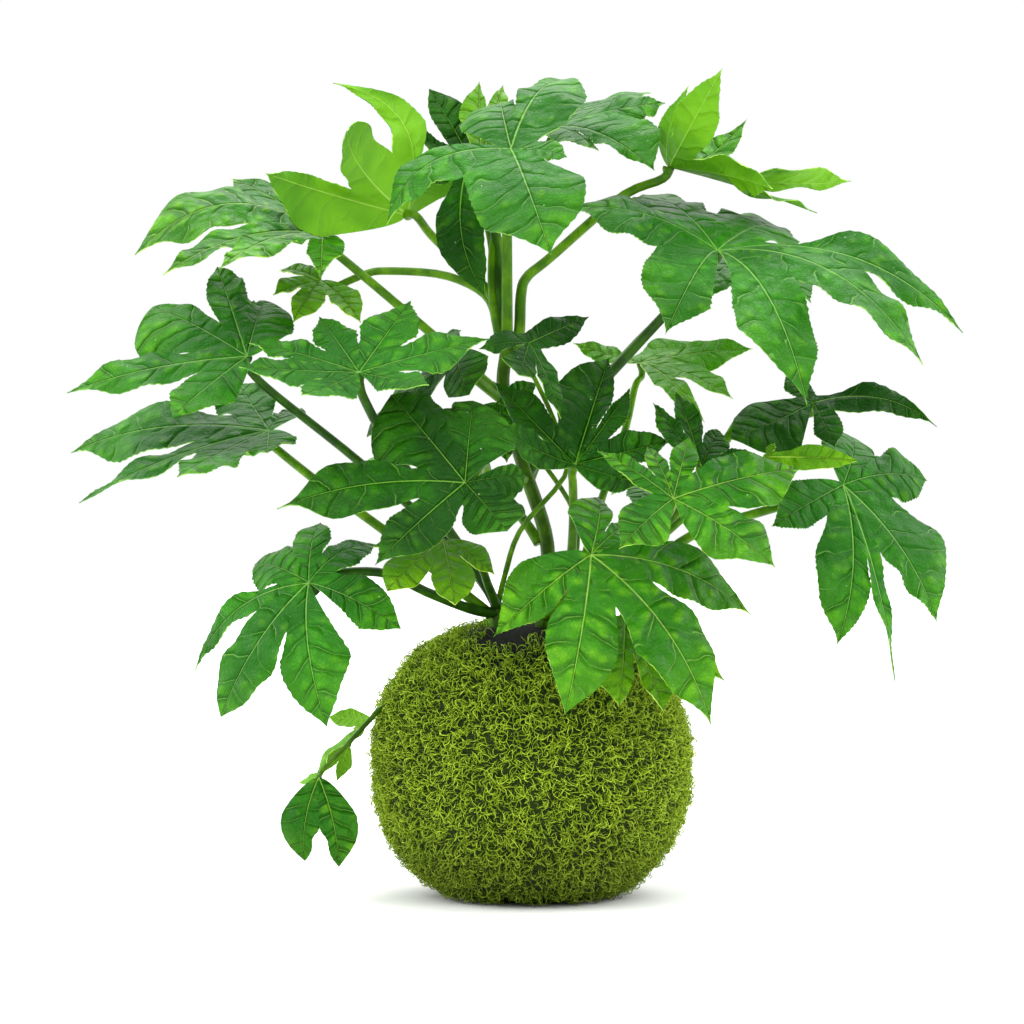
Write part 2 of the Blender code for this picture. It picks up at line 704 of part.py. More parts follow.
def join_all(stem, loose):
    """Joins every loose piece to the stem in one union, and gives the whole its finish."""
    join = stem.modifiers.new("Join", "BOOLEAN")
    join.operation = "UNION"
    join.operand_type = "COLLECTION"
    join.collection = loose
    apply_modifiers(stem)
    for piece in list(loose.objects):
        bpy.data.objects.remove(piece)
    bpy.data.collections.remove(loose)
    stem.data.materials.clear()
    stem.data.materials.append(material(stem.name + "_finish", "stalk"))
    stem.data.shade_smooth()


def shoot(name, places, low, high, home):
    """A stem along the places, with its leaves' stalks, as one body."""
    loose = bpy.data.collections.new(name + "_loose")
    bpy.context.scene.collection.children.link(loose)
    way = curve_through([sight(place) for place in places], STEM_POINTS * len(places))
    radii = [(low + (high - low) * k / (len(way) - 1)) * MM for k in range(len(way))]
    stem = tube(name, way, radii, home)
    for leaf_name, leaf in LEAVES.items():
        if leaf.shoot == name:
            way = stalk_way(leaf)
            flare = [1.0 + STALK_FLARE * (k / len(way)) ** 2 for k in range(len(way))]
            tube(leaf_name + "_stalk", way, [leaf.thick * MM * part for part in flare], loose)
    join_all(stem, loose)


def apply_modifiers(thing):
    """Turns an object's evaluated shape into its mesh."""
    bpy.context.view_layer.update()
    whole = bpy.data.meshes.new_from_object(thing.evaluated_get(bpy.context.evaluated_depsgraph_get()))
    old = thing.data
    thing.modifiers.clear()
    thing.data = whole
    bpy.data.meshes.remove(old)


def ball_surface(height):
    """Radius of the ball, without its relief, at a height above the base."""
    reach, fullness = (BALL_RISE, TOP_FULLNESS) if height > BALL_HEART else (BALL_DROP, BASE_FULLNESS)
    part = min(abs(height - BALL_HEART) / reach, 1.0)
    return BALL_RADIUS * (1.0 - part ** fullness) ** (1.0 / fullness)


def moss_ball(home, cutters):
    """The moss ball: a turned form with clumps in relief, flat below, with a pocket for the soil."""
    bm = bmesh.new()
    bmesh.ops.create_uvsphere(bm, u_segments=BALL_SIDES, v_segments=BALL_RINGS, radius=1.0)
    for vert in bm.verts:
        lean = math.atan2(vert.co.z, math.hypot(vert.co.x, vert.co.y))
        height = BALL_HEART + (BALL_RISE if lean > 0 else BALL_DROP) * math.sin(lean)
        height = max(height, 0.0)
        around = math.atan2(vert.co.y, vert.co.x)
        radius = ball_surface(height) if height > 0.0 else ball_surface(0.0) * math.cos(lean) / math.cos(
            math.asin(BALL_HEART / BALL_DROP))
        place = Vector((radius * math.cos(around), radius * math.sin(around), height))
        away = (place - Vector((0.0, 0.0, BALL_HEART))).normalized()
        bump = noise.noise(place / MOSS_CLUMP) * MOSS_RELIEF
        if height > 0.0:
            place += away * bump
            place.z = max(place.z, 0.4 * MM)
        vert.co = place
    bmesh.ops.recalc_face_normals(bm, faces=bm.faces)
    made = add_object("moss_ball", bm, home, "moss")
    pocket = bmesh.new()
    bmesh.ops.create_cone(pocket, cap_ends=True, segments=SOIL_SIDES, radius1=SOIL_RADIUS + GAP,
                          radius2=SOIL_RADIUS + GAP, depth=60 * MM,
                          matrix=Matrix.Translation((0.0, 0.0, SOIL_BOTTOM - GAP + 30 * MM)))
    cut(made, add_cutter("soil_pocket", pocket, cutters))
    way = curve_through([sight(place) for place in TRAILING[:3]], 7)
    hole = tube("trailing_hole", way, [TRAILING_THICK * MM + GAP] * len(way), cutters)
    cut(made, hide(hole))
    made.data.shade_smooth()
    return made


def hide(cutter):
    """Marks an object as a cutter."""
    cutter.hide_render = True
    cutter.display_type = "WIRE"
    return cutter


def add_cutter(name, bm, cutters):
    """Makes a cutter of a bmesh."""
    return hide(add_object(name, bm, cutters))


def cut(thing, cutter):
    """Cuts one object out of another."""
    bite = thing.modifiers.new("Cut_" + cutter.name, "BOOLEAN")
    bite.operation = "DIFFERENCE"
    bite.object = cutter


def soil_crown(home, cutters):
    """The soil in the ball's crown: a low mound with a plain hole for each stem."""
    bm = bmesh.new()
    depth = SOIL_TOP - SOIL_BOTTOM
    bmesh.ops.create_cone(bm, cap_ends=True, segments=SOIL_SIDES, radius1=SOIL_RADIUS, radius2=SOIL_RADIUS,
                          depth=depth, matrix=Matrix.Translation((0.0, 0.0, SOIL_BOTTOM + depth / 2.0)))
    top = [face for face in bm.faces if face.normal.z > 0.5]
    bmesh.ops.inset_region(bm, faces=top, thickness=8.0 * MM, depth=SOIL_MOUND)
    made = add_object("soil_crown", bm, home, "soil")
    for name, (places, low, _) in SHOOTS.items():
        way = [sight(place) for place in places[:3]]
        below = way[0] - Vector((0.0, 0.0, GAP))
        hole = tube(name + "_hole", [below, *curve_through(way, 9)[1:]], [low * MM + GAP] * 9, cutters)
        cut(made, hide(hole))
    return made


def main():
    """Builds every piece of the plant."""
    for old in list(bpy.data.objects):
        bpy.data.objects.remove(old)
    home = bpy.data.collections.new("fatsia_japonica")
    cutters = bpy.data.collections.new("cutters")
    for collection in (home, cutters):
        bpy.context.scene.collection.children.link(collection)
    moss_ball(home, cutters)
    soil_crown(home, cutters)
    for name, (places, low, high) in SHOOTS.items():
        shoot(name, places, low, high, home)
    shoot("shoot_trailing", TRAILING, TRAILING_THICK, TRAILING_THIN, home)
    for name, leaf in LEAVES.items():
        blade(name, leaf, home)


main()
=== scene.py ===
"""Looks of the fatsia japonica grown in a moss ball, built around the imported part.

Lengths in the tables are millimetres, in the part's own frame: +Z up, the origin in the middle
of the ball's flat base and -Y towards the viewer. A place (x, y, z) is the point seen at x, z on
the upright plane y = 0 from the photograph's view point, slid along its line of sight to depth y.
"""

import logging
import math
import random
from dataclasses import dataclass, field
from enum import Enum

import bmesh
import bpy
from mathutils import Matrix, Vector, noise

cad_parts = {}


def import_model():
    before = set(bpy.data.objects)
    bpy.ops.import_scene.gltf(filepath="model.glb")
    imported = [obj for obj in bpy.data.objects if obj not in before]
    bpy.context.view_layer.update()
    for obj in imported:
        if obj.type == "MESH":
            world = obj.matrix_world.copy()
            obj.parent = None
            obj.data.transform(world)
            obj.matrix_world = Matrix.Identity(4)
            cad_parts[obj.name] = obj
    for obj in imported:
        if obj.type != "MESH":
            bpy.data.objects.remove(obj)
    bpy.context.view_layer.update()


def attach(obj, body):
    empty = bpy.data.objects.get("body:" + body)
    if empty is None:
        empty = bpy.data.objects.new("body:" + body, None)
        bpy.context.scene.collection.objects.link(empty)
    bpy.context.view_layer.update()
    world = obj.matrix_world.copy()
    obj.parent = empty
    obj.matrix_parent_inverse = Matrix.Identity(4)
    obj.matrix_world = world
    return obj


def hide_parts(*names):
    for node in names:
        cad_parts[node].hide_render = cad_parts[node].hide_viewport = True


LOG = logging.getLogger("fatsia_japonica")
MM = 0.001
VIEW_POINT = Vector((-9.5, -1500.0, 191.5))
IMAGE_HEIGHT = 512.0


def sight(place: tuple) -> Vector:
    """The real point that is seen at x, z on the plane y = 0 and lies at depth y.

    Args:
        place: x, y and z in millimetres.

    Returns:
        The point in metres.
    """
    x, y, z = place[:3]
    spread = (y - VIEW_POINT.y) / -VIEW_POINT.y
    seen_x = VIEW_POINT.x + (x - VIEW_POINT.x) * spread
    seen_z = VIEW_POINT.z + (z - VIEW_POINT.z) * spread
    return Vector((seen_x, y, seen_z)) * MM


def smooth(value: float) -> float:
    """An S-shaped step from 0 to 1."""
    value = min(max(value, 0.0), 1.0)
    return value * value * (3.0 - 2.0 * value)


def curve_through(places: list, count: int) -> list:
    """Evenly numbered points on a smooth curve through the places, by Catmull and Rom's rule.

    Args:
        places: the points that the curve passes, two or more.
        count: how many points are wanted.

    Returns:
        The curve's points.
    """
    ends = [places[0] * 2.0 - places[1], *places, places[-1] * 2.0 - places[-2]]
    spans = len(places) - 1
    points = []
    for number in range(count):
        where = number / (count - 1) * spans
        span = min(int(where), spans - 1)
        part = where - span
        before, first, second, after = ends[span:span + 4]
        points.append(0.5 * (
            first * 2.0
            + (second - before) * part
            + (before * 2.0 - first * 5.0 + second * 4.0 - after) * part ** 2
            + (first * 3.0 - before - second * 3.0 + after) * part ** 3
        ))
    return points


def linear(code: str) -> tuple:
    """Turns an sRGB hex colour into linear red, green, blue and an alpha of 1."""
    parts = [int(code[k:k + 2], 16) / 255.0 for k in (1, 3, 5)]
    return (*[p / 12.92 if p <= 0.04045 else ((p + 0.055) / 1.055) ** 2.4 for p in parts], 1.0)


def add_node(tree: bpy.types.NodeTree, kind: str, inputs: dict | None = None,
             **settings) -> bpy.types.Node:
    """Adds a shader node.

    Args:
        tree: the material's node tree.
        kind: the node's type name without its prefix ShaderNode.
        inputs: input name or number to a value, or to the output socket that feeds it.
        settings: the node's own properties.

    Returns:
        The new node.
    """
    made = tree.nodes.new("ShaderNode" + kind)
    for name, value in settings.items():
        setattr(made, name, value)
    for key, value in (inputs or {}).items():
        if isinstance(value, bpy.types.NodeSocket):
            tree.links.new(value, made.inputs[key])
        else:
            made.inputs[key].default_value = value
    return made


def sum_of(tree: bpy.types.NodeTree, operation: str, *values) -> bpy.types.NodeSocket:
    """The output of a Math node that works on the values, numbers or sockets."""
    made = add_node(tree, "Math", dict(enumerate(values)), operation=operation)
    return made.outputs[0]


def ramp(tree: bpy.types.NodeTree, value: float | bpy.types.NodeSocket, low: float, high: float,
         start: float = 0.0, end: float = 1.0) -> bpy.types.NodeSocket:
    """The output of a smooth step of value, from start at low to end at high."""
    made = add_node(tree, "MapRange", {0: value, 1: low, 2: high, 3: start, 4: end},
                    interpolation_type="SMOOTHSTEP")
    return made.outputs[0]


def blend(tree: bpy.types.NodeTree, part: float | bpy.types.NodeSocket, first, second,
          kind: str = "MIX") -> bpy.types.NodeSocket:
    """The output of a colour mix of first and second. part 0 is all first."""
    made = add_node(tree, "Mix", {0: part, 6: first, 7: second}, data_type="RGBA", blend_type=kind)
    return made.outputs[2]


def fresh_material(name: str, roughness: float, ior: float) -> tuple:
    """A new material of one Principled shader.

    Args:
        name: the material's name.
        roughness: the shader's roughness.
        ior: the shader's index of refraction.

    Returns:
        The material, its node tree and its shader.
    """
    made = bpy.data.materials.new(name)
    made.use_nodes = True
    tree = made.node_tree
    shader = tree.nodes["Principled BSDF"]
    shader.inputs["Roughness"].default_value = roughness
    shader.inputs["IOR"].default_value = ior
    return made, tree, shader


def add_piece(name: str, bm: bmesh.types.BMesh, materials: list, slot: str,
              *nodes: str) -> bpy.types.Object:
    """Makes a finished piece of a bmesh that rides on the part.

    Args:
        name: the piece's name.
        bm: its shape, which is used up.
        materials: its materials, by material index.
        slot: the record's material slot, which is not used.
        nodes: the CAD nodes it stands for.

    Returns:
        The new object.
    """
    mesh = bpy.data.meshes.new(name)
    bm.to_mesh(mesh)
    bm.free()
    mesh.shade_smooth()
    for finish in materials:
        mesh.materials.append(finish)
    made = bpy.data.objects.new(name, mesh)
    bpy.context.scene.collection.objects.link(made)
    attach(made, "root")
    if nodes:
        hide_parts(*nodes)
    return made


class Tone(Enum):
    """How old and how dark a leaf is, by the record's material slot."""

    MATURE = "mature_leaf"
    DARK = "dark_leaf"
    BRIGHT = "bright_leaf"
    YOUNG = "young_leaf"
    YELLOW = "yellow_leaf"


@dataclass
class Leaf:
    """One leaf: its hub, its lobe tips and the way its stalk runs down to the shoot.

    Tips go round the hub counterclockwise as seen from the glossy side, starting beside the
    stalk's notch. After its place, a tip may add its half width, how far it rolls over in
    degrees, and how far its midrib bows to the right and rises between hub and tip. Widths,
    bows and rises are parts of a lobe's length. arch is the rise of the tips that name none.
    tapers gives a tip's number its fullness, 3 for a round end and 1.5 for a slim one, and how
    thinly its point is drawn out. webs gives how far the web after a tip reaches, where it isn't
    the leaf's sinus. fold is how steeply a lobe's halves rise from its midrib.
    """

    hub: tuple
    tips: list
    tone: Tone
    width: float = 0.25
    stalk: list = field(default_factory=list)
    shoot: str = ""
    thick: float = 2.1
    sinus: float = 0.42
    arch: float = 0.08
    fold: float = 0.13
    tapers: dict = field(default_factory=dict)
    webs: dict = field(default_factory=dict)


LEAVES = {
    "leaf_upper_right": Leaf(
        hub=(93, -10, 322),
        tips=[(138, -85, 245, 0.28, 0, 0.04), (196, -58, 265, 0.24, 0, 0, 0.3),
              (216, -15, 281, 0.14, -25, 0, 0.28), (125, 74, 333, 0.25, 0, 0, 0.06),
              (56, 60, 350, 0.25, 0, 0, 0.08), (17, 0, 343, 0.28), (67, -66, 280, 0.32)],
        tone=Tone.MATURE,
        stalk=[(64, 5, 287), (40, 12, 261), (22, 10, 242), (6, 6, 222), (-3, 1, 209)],
        shoot="shoot_main",
        thick=2.4,
        sinus=0.46,
        arch=0.2,
        webs={3: 0.7, 5: 0.8},
    ),
    "leaf_top_right": Leaf(
        hub=(69, 25, 364),
        tips=[(79, 5, 405, 0.15), (96, -20, 414, 0.18), (121, -8, 353, 0.21, 50),
              (160, 35, 357, 0.22, 35), (143, 60, 341, 0.18), (108, 65, 388, 0.14)],
        tone=Tone.BRIGHT,
        stalk=[(45, 22, 349), (10, 12, 319), (-2, 8, 309), (-5, 5, 300), (-6, 3, 280), (-10, 1, 264)],
        shoot="shoot_main",
        thick=2.3,
        sinus=0.5,
        arch=0.16,
    ),
    "leaf_top_front": Leaf(
        hub=(-10, -40, 373),
        tips=[(-72, -58, 335, 0.17, 0, 0.42), (10, -100, 320, 0.32), (18, -58, 369, 0.3),
              (19, 34, 407, 0.28), (-15, 18, 395, 0.34)],
        tone=Tone.MATURE,
        stalk=[(-12, -14, 348), (-12, -6, 330), (-12, -3, 295), (-12, 0, 274)],
        shoot="shoot_main",
        thick=2.3,
        arch=0.14,
        tapers={1: (2.2, 0.6), 4: (3.0, 0.1)},
        webs={0: 0.5, 1: 0.7},
    ),
    "leaf_top_side": Leaf(
        hub=(-28, 24, 364),
        tips=[(-51, 42, 403, 0.22), (-58, 34, 386, 0.11, 0, -0.2)],
        tone=Tone.DARK,
        stalk=[(-26, 20, 350), (-20, 13, 326), (-18, 7, 300), (-13, 2, 270)],
        shoot="shoot_main",
        thick=1.6,
        tapers={0: (2.4, 0.3)},
    ),
    "leaf_top_hanging": Leaf(
        hub=(-31, -5, 368),
        tips=[(-52, 2, 356, 0.2), (-23, -9, 300, 0.2, 0, 0.22), (-20, -9, 352, 0.2)],
        tone=Tone.DARK,
        stalk=[(-26, 7, 352), (-18, 7, 328), (-16, 4, 304), (-13, 2, 274)],
        shoot="shoot_main",
        thick=1.8,
        tapers={1: (2.4, 0.2)},
    ),
    "leaf_top_behind": Leaf(
        hub=(8, 52, 383),
        tips=[(34, 5, 372, 0.2), (62, -5, 362, 0.27, -28), (67, 36, 396, 0.2, -30), (60, 100, 401, 0.2),
              (10, 120, 385), (-32, 95, 378)],
        tone=Tone.MATURE,
        stalk=[(-10, 26, 352), (-18, 9, 330), (-19, 5, 300), (-15, 2, 276)],
        shoot="shoot_main",
        webs={1: 0.8},
    ),
    "leaf_top_young": Leaf(
        hub=(-25, 8, 368),
        tips=[(3, 48, 402, 0.16), (-14, 58, 405, 0.18), (-26, 38, 407, 0.2)],
        tone=Tone.YELLOW,
        stalk=[(-22, 8, 350), (-16, 8, 325), (-14, 6, 298), (-12, 3, 272)],
        shoot="shoot_main",
        thick=1.8,
    ),
    "leaf_upper_left": Leaf(
        hub=(-62, 20, 340),
        tips=[(-133, -48, 361, 0.23, 0, 0, 0.22), (-92, -54, 382, 0.45), (-99, 5, 406, 0.16, 0, -0.6),
              (-32, 16, 371, 0.3)],
        tone=Tone.BRIGHT,
        stalk=[(-49, 24, 329), (-30, 15, 311), (-19, 7, 298), (-14, 3, 280)],
        shoot="shoot_main",
        tapers={1: (3.0, 0.1)},
    ),
    "leaf_far_upper_left": Leaf(
        hub=(-104, 16, 330),
        tips=[(-100, 70, 343), (-150, 56, 358), (-198, 6, 320, 0.27, 20, 0, 0.4), (-184, -52, 310, 0.14),
              (-156, -75, 313, 0.14), (-105, -46, 308, 0.16)],
        tone=Tone.BRIGHT,
        stalk=[(-99, 14, 322), (-56, 12, 286), (-30, 8, 263), (-14, 2, 249)],
        shoot="shoot_main",
        arch=0.18,
        tapers={2: (2.2, 0.6)},
    ),
    "leaf_small_left": Leaf(
        hub=(-105, 14, 307),
        tips=[(-126, 30, 312, 0.26), (-129, -10, 300, 0.26), (-119, -22, 286, 0.26),
              (-85, -18, 286, 0.2)],
        tone=Tone.YELLOW,
        stalk=[(-84, 18, 310), (-72, 19, 312), (-44, 18, 310), (-24, 11, 301), (-17, 5, 288),
               (-13, 2, 272)],
        shoot="shoot_main",
        thick=1.9,
        fold=0.4,
    ),
    "leaf_left": Leaf(
        hub=(-142, -20, 269),
        tips=[(-133, 20, 297, 0.36), (-157, 28, 314, 0.36), (-189, 12, 294, 0.45),
              (-232, -34, 251, 0.15), (-180, -62, 238, 0.25)],
        tone=Tone.MATURE,
        stalk=[(-129, -14, 251), (-90, -12, 220), (-58, -10, 192), (-32, -6, 166), (-17, -3, 146)],
        shoot="shoot_left",
        thick=2.0,
        tapers={0: (2.6, 0.1), 1: (2.2, 0.4), 2: (3.4, 0.0)},
        webs={0: 0.9, 2: 0.42},
    ),
    "leaf_left_inner": Leaf(
        hub=(-86, -72, 261),
        tips=[(-51, -98, 255, 0.26), (-21, -62, 278, 0.26), (-60, -32, 297, 0.26), (-106, -36, 289, 0.26),
              (-141, -52, 276, 0.2), (-146, -84, 264, 0.27), (-115, -108, 250, 0.32)],
        tone=Tone.MATURE,
        stalk=[(-83, -63, 247), (-72, -50, 227), (-48, -26, 192), (-26, -10, 160), (-16, -4, 143)],
        shoot="shoot_left",
        thick=2.2,
        fold=0.2,
        tapers={1: (1.8, 0.9), 2: (1.7, 0.8), 3: (1.6, 0.7), 4: (1.8, 0.9)},
    ),
    "leaf_left_low": Leaf(
        hub=(-131, -10, 232),
        tips=[(-116, 28, 242), (-148, 48, 257), (-230, 14, 221, 0.2, 25, 0, 0.16), (-226, -45, 196, 0.1),
              (-177, -68, 209, 0.24), (-132, -62, 221, 0.26)],
        tone=Tone.MATURE,
        stalk=[(-126, -14, 222), (-102, -18, 203), (-73, -16, 182), (-45, -10, 160), (-20, -6, 140)],
        shoot="shoot_left",
        webs={4: 0.75},
    ),
    "leaf_centre_left": Leaf(
        hub=(-33, -88, 206),
        tips=[(-29, -60, 247, 0.45), (-70, -60, 250, 0.42), (-127, -92, 193, 0.18, 0, 0.09),
              (-78, -118, 165, 0.23), (-12, -110, 182, 0.4), (-3, -88, 210, 0.4)],
        tone=Tone.DARK,
        stalk=[(-24, -62, 216), (-20, -40, 207), (-10, -14, 206), (-3, 0, 208)],
        shoot="shoot_main",
        sinus=0.36,
        tapers={0: (2.8, 0.1), 1: (2.6, 0.2), 2: (3.0, 2.4), 4: (2.8, 0.1), 5: (2.8, 0.1)},
        webs={0: 0.92, 4: 0.85},
    ),
    "leaf_front": Leaf(
        hub=(30, -76, 170),
        tips=[(-19, -98, 129, 0.28), (17, -116, 90, 0.26), (90, -100, 85, 0.19, 0, -0.12),
              (110, -62, 140, 0.2, 0, -0.16), (48, -38, 184), (34, -36, 199, 0.3)],
        tone=Tone.BRIGHT,
        stalk=[(26, -60, 158), (16, -36, 148), (7, -19, 140)],
        shoot="shoot_front",
        thick=2.4,
        sinus=0.36,
        tapers={1: (2.1, 0.4), 2: (2.0, 0.6)},
    ),
    "leaf_right_bright": Leaf(
        hub=(71, -86, 198),
        tips=[(122, -104, 164, 0.3), (135, -58, 213, 0.27), (79, -54, 229, 0.17), (58, -56, 224, 0.14),
              (33, -68, 222, 0.14), (44, -112, 173, 0.32)],
        tone=Tone.BRIGHT,
        stalk=[(66, -74, 187), (60, -62, 180), (38, -36, 160), (20, -13, 141)],
        shoot="shoot_right",
    ),
    "leaf_far_right": Leaf(
        hub=(156, 10, 205),
        tips=[(120, -16, 184, 0.28), (153, -28, 125, 0.22, 0, -0.1), (182, -24, 106, 0.08, 50),
              (203, -12, 136, 0.33, 0, -0.12), (198, 40, 207, 0.3, 0, -0.1), (160, 50, 229, 0.34)],
        tone=Tone.MATURE,
        stalk=[(150, 16, 201), (120, 8, 193), (83, -4, 181), (60, -6, 165), (36, -6, 148), (20, -8, 138)],
        shoot="shoot_right",
        thick=2.2,
        sinus=0.46,
        tapers={1: (2.4, 0.6), 5: (3.0, 0.1)},
        webs={4: 0.7},
    ),
    "leaf_right_flat": Leaf(
        hub=(141, 24, 246),
        tips=[(152, 4, 223, 0.26), (203, 6, 234, 0.13, -20, -0.28, 0.1), (127, 40, 259, 0.24),
              (100, 8, 228, 0.42, 0, -0.1)],
        tone=Tone.DARK,
        stalk=[(128, 36, 240), (108, 30, 240), (98, 20, 228), (80, 14, 200), (50, 8, 166), (21, -3, 140)],
        shoot="shoot_right",
        tapers={1: (1.8, 1.2), 3: (2.8, 0.2)},
    ),
    "leaf_right_slip": Leaf(
        hub=(118, -20, 219),
        tips=[(120, -23, 212, 0.3), (163, -31, 217, 0.15), (122, -17, 226, 0.3)],
        tone=Tone.YELLOW,
        width=0.3,
        stalk=[(109, -14, 212), (90, -10, 200), (62, -10, 176), (36, -9, 152), (20, -9, 139)],
        shoot="shoot_right",
        thick=1.7,
        tapers={1: (2.6, 0.2)},
    ),
    "leaf_right_young": Leaf(
        hub=(55, 46, 266),
        tips=[(87, -14, 236, 0.12), (101, 0, 248, 0.2), (111, 44, 273, 0.22, -35),
              (92, 84, 271, 0.24, -30), (21, 56, 276, 0.2, 30)],
        tone=Tone.YOUNG,
        sinus=0.28,
        stalk=[(52, 42, 254), (47, 34, 232), (36, 22, 200), (26, 10, 166), (19, -2, 142)],
        shoot="shoot_right",
        thick=1.7,
    ),
    "leaf_right_dark": Leaf(
        hub=(85, -44, 214),
        tips=[(108, -48, 201, 0.3), (112, -38, 221, 0.26), (93, -20, 233, 0.3), (72, -14, 252, 0.2),
              (61, -30, 246, 0.22)],
        tone=Tone.DARK,
        stalk=[(78, -36, 204), (54, -22, 180), (34, -14, 156), (19, -10, 142)],
        shoot="shoot_right",
        thick=1.8,
        fold=0.3,
    ),
    "leaf_centre_dark": Leaf(
        hub=(22, -50, 215),
        tips=[(58, -64, 206, 0.34), (70, -36, 227, 0.24), (50, -26, 254, 0.16), (39, 2, 269, 0.26),
              (-19, -34, 257, 0.17), (-14, -66, 234, 0.32)],
        tone=Tone.DARK,
        stalk=[(21, -40, 204), (21, -26, 182), (19, -14, 156), (17, -10, 142)],
        shoot="shoot_right",
        thick=2.0,
        fold=0.4,
        tapers={0: (2.8, 0.1), 5: (2.4, 0.2)},
    ),
    "leaf_centre_upper": Leaf(
        hub=(-1, -30, 276),
        tips=[(-6, -60, 260, 0.4), (15, -54, 238, 0.15), (29, 2, 289, 0.17),
              (-26, -48, 273, 0.26)],
        tone=Tone.DARK,
        stalk=[(0, -24, 262), (12, -26, 236), (18, -28, 212), (-5, -24, 183), (-13, -12, 160),
               (-17, -4, 143)],
        shoot="shoot_left",
        thick=1.1,
        tapers={0: (3.0, 0.1)},
    ),
    "leaf_inner_left": Leaf(
        hub=(-36, -34, 271),
        tips=[(-50, 12, 271, 0.28), (-82, -22, 229, 0.28), (-31, -58, 250, 0.45)],
        tone=Tone.DARK,
        stalk=[(-30, -22, 260), (-13, -1, 246)],
        shoot="shoot_main",
        thick=1.8,
        tapers={1: (2.8, 0.1), 2: (3.0, 0.1)},
    ),
    "leaf_inner_young": Leaf(
        hub=(-16, -20, 246),
        tips=[(-34, -30, 230, 0.28), (-12, -25, 216, 0.28), (8, -30, 232, 0.28), (3, -14, 256, 0.24)],
        tone=Tone.BRIGHT,
        stalk=[(-12, -14, 238), (6, -18, 216), (22, -17, 190), (22, -12, 164), (18, -9, 142)],
        shoot="shoot_right",
        thick=1.1,
    ),
    "leaf_lower_left": Leaf(
        hub=(-111, -72, 156),
        tips=[(-65, -88, 133, 0.27), (-77, -42, 175, 0.24), (-105, -32, 186, 0.22), (-138, -38, 165, 0.3),
              (-168, -62, 112, 0.11, 0, 0.22), (-155, -88, 89, 0.25), (-102, -104, 84, 0.26, 0, 0.05)],
        tone=Tone.MATURE,
        stalk=[(-100, -58, 160), (-74, -42, 161), (-51, -27, 151), (-30, -12, 143), (-18, -5, 141)],
        shoot="shoot_left",
        sinus=0.38,
        tapers={0: (2.4, 0.3), 3: (1.6, 0.3), 5: (2.8, 0.1), 6: (2.2, 0.3)},
        webs={2: 0.7},
    ),
    "leaf_lower_bright": Leaf(
        hub=(-44, -60, 177),
        tips=[(-79, -62, 174, 0.3), (-72, -84, 152, 0.4), (-38, -92, 145, 0.36), (-18, -70, 160, 0.3)],
        tone=Tone.YELLOW,
        stalk=[(-27, -44, 166), (-21, -20, 154), (-17, -5, 144)],
        shoot="shoot_left",
        thick=1.8,
        tapers={1: (2.8, 0.1), 2: (2.6, 0.2)},
    ),
    "leaf_below_front": Leaf(
        hub=(47, -58, 140),
        tips=[(44, -92, 94, 0.34), (66, -86, 92, 0.34), (97, -66, 107, 0.24)],
        tone=Tone.YELLOW,
        stalk=[(38, -46, 140), (18, -26, 144), (7, -18, 138)],
        shoot="shoot_front",
        thick=1.8,
        tapers={0: (2.4, 0.5), 1: (2.4, 0.5)},
    ),
    "leaf_back_right": Leaf(
        hub=(108, 108, 318),
        tips=[(84, 60, 296), (140, 70, 296), (168, 116, 304), (132, 172, 312), (82, 168, 318),
              (62, 128, 312)],
        tone=Tone.MATURE,
        stalk=[(84, 84, 300), (62, 46, 285), (40, 30, 262), (20, 20, 240), (4, 10, 218), (-2, 3, 204)],
        shoot="shoot_main",
    ),
    "leaf_back_left": Leaf(
        hub=(-42, 90, 232),
        tips=[(-22, 124, 230), (-54, 150, 232), (-84, 112, 214), (-76, 60, 212), (-40, 44, 214)],
        tone=Tone.MATURE,
        stalk=[(-36, 68, 222), (-20, 30, 206), (-4, 10, 188), (4, 4, 176)],
        shoot="shoot_main",
    ),
    "leaf_back_middle": Leaf(
        hub=(62, 92, 204),
        tips=[(52, 58, 192), (96, 60, 190), (118, 104, 196), (84, 146, 200), (40, 134, 200)],
        tone=Tone.MATURE,
        stalk=[(54, 74, 190), (36, 40, 168), (20, 26, 150), (8, 17, 142)],
        shoot="shoot_back",
    ),
    "leaf_back_low": Leaf(
        hub=(14, 84, 134),
        tips=[(52, 104, 104), (14, 128, 84), (-30, 112, 96), (-40, 76, 122)],
        tone=Tone.BRIGHT,
        stalk=[(16, 68, 132), (12, 40, 140), (6, 17, 140)],
        shoot="shoot_back",
    ),
    "leaflet_trailing_upper": Leaf(
        hub=(-80, -14, 88),
        tips=[(-89, -18, 83, 0.25), (-101, -10, 89, 0.3)],
        tone=Tone.YOUNG,
        stalk=[(-76, -25, 92)],
        shoot="shoot_trailing",
        thick=1.0,
        tapers={1: (2.4, 0.2)},
    ),
    "leaflet_trailing_tip": Leaf(
        hub=(-106, -45, 59),
        tips=[(-113, -47, 17, 0.29, 0, 0.14), (-96, -48, 14, 0.26, 0, -0.1)],
        tone=Tone.BRIGHT,
        stalk=[(-104, -40, 63)],
        shoot="shoot_trailing",
        thick=1.1,
        sinus=0.6,
        tapers={0: (2.8, 0.1), 1: (2.6, 0.2)},
    ),
    "leaflet_trailing_strap": Leaf(
        hub=(-105, -30, 61),
        tips=[(-116, -24, 56, 0.25), (-82, -14, 86, 0.22, 0, 0.36)],
        tone=Tone.BRIGHT,
        stalk=[(-104, -40, 63)],
        shoot="shoot_trailing",
        thick=1.0,
        tapers={1: (2.6, 0.1)},
    ),
    "leaflet_trailing_side": Leaf(
        hub=(-91, -31, 75),
        tips=[(-97, -28, 57, 0.26), (-103, -32, 62, 0.26)],
        tone=Tone.YELLOW,
        stalk=[(-92, -37, 75)],
        shoot="shoot_trailing",
        thick=0.8,
    ),
}


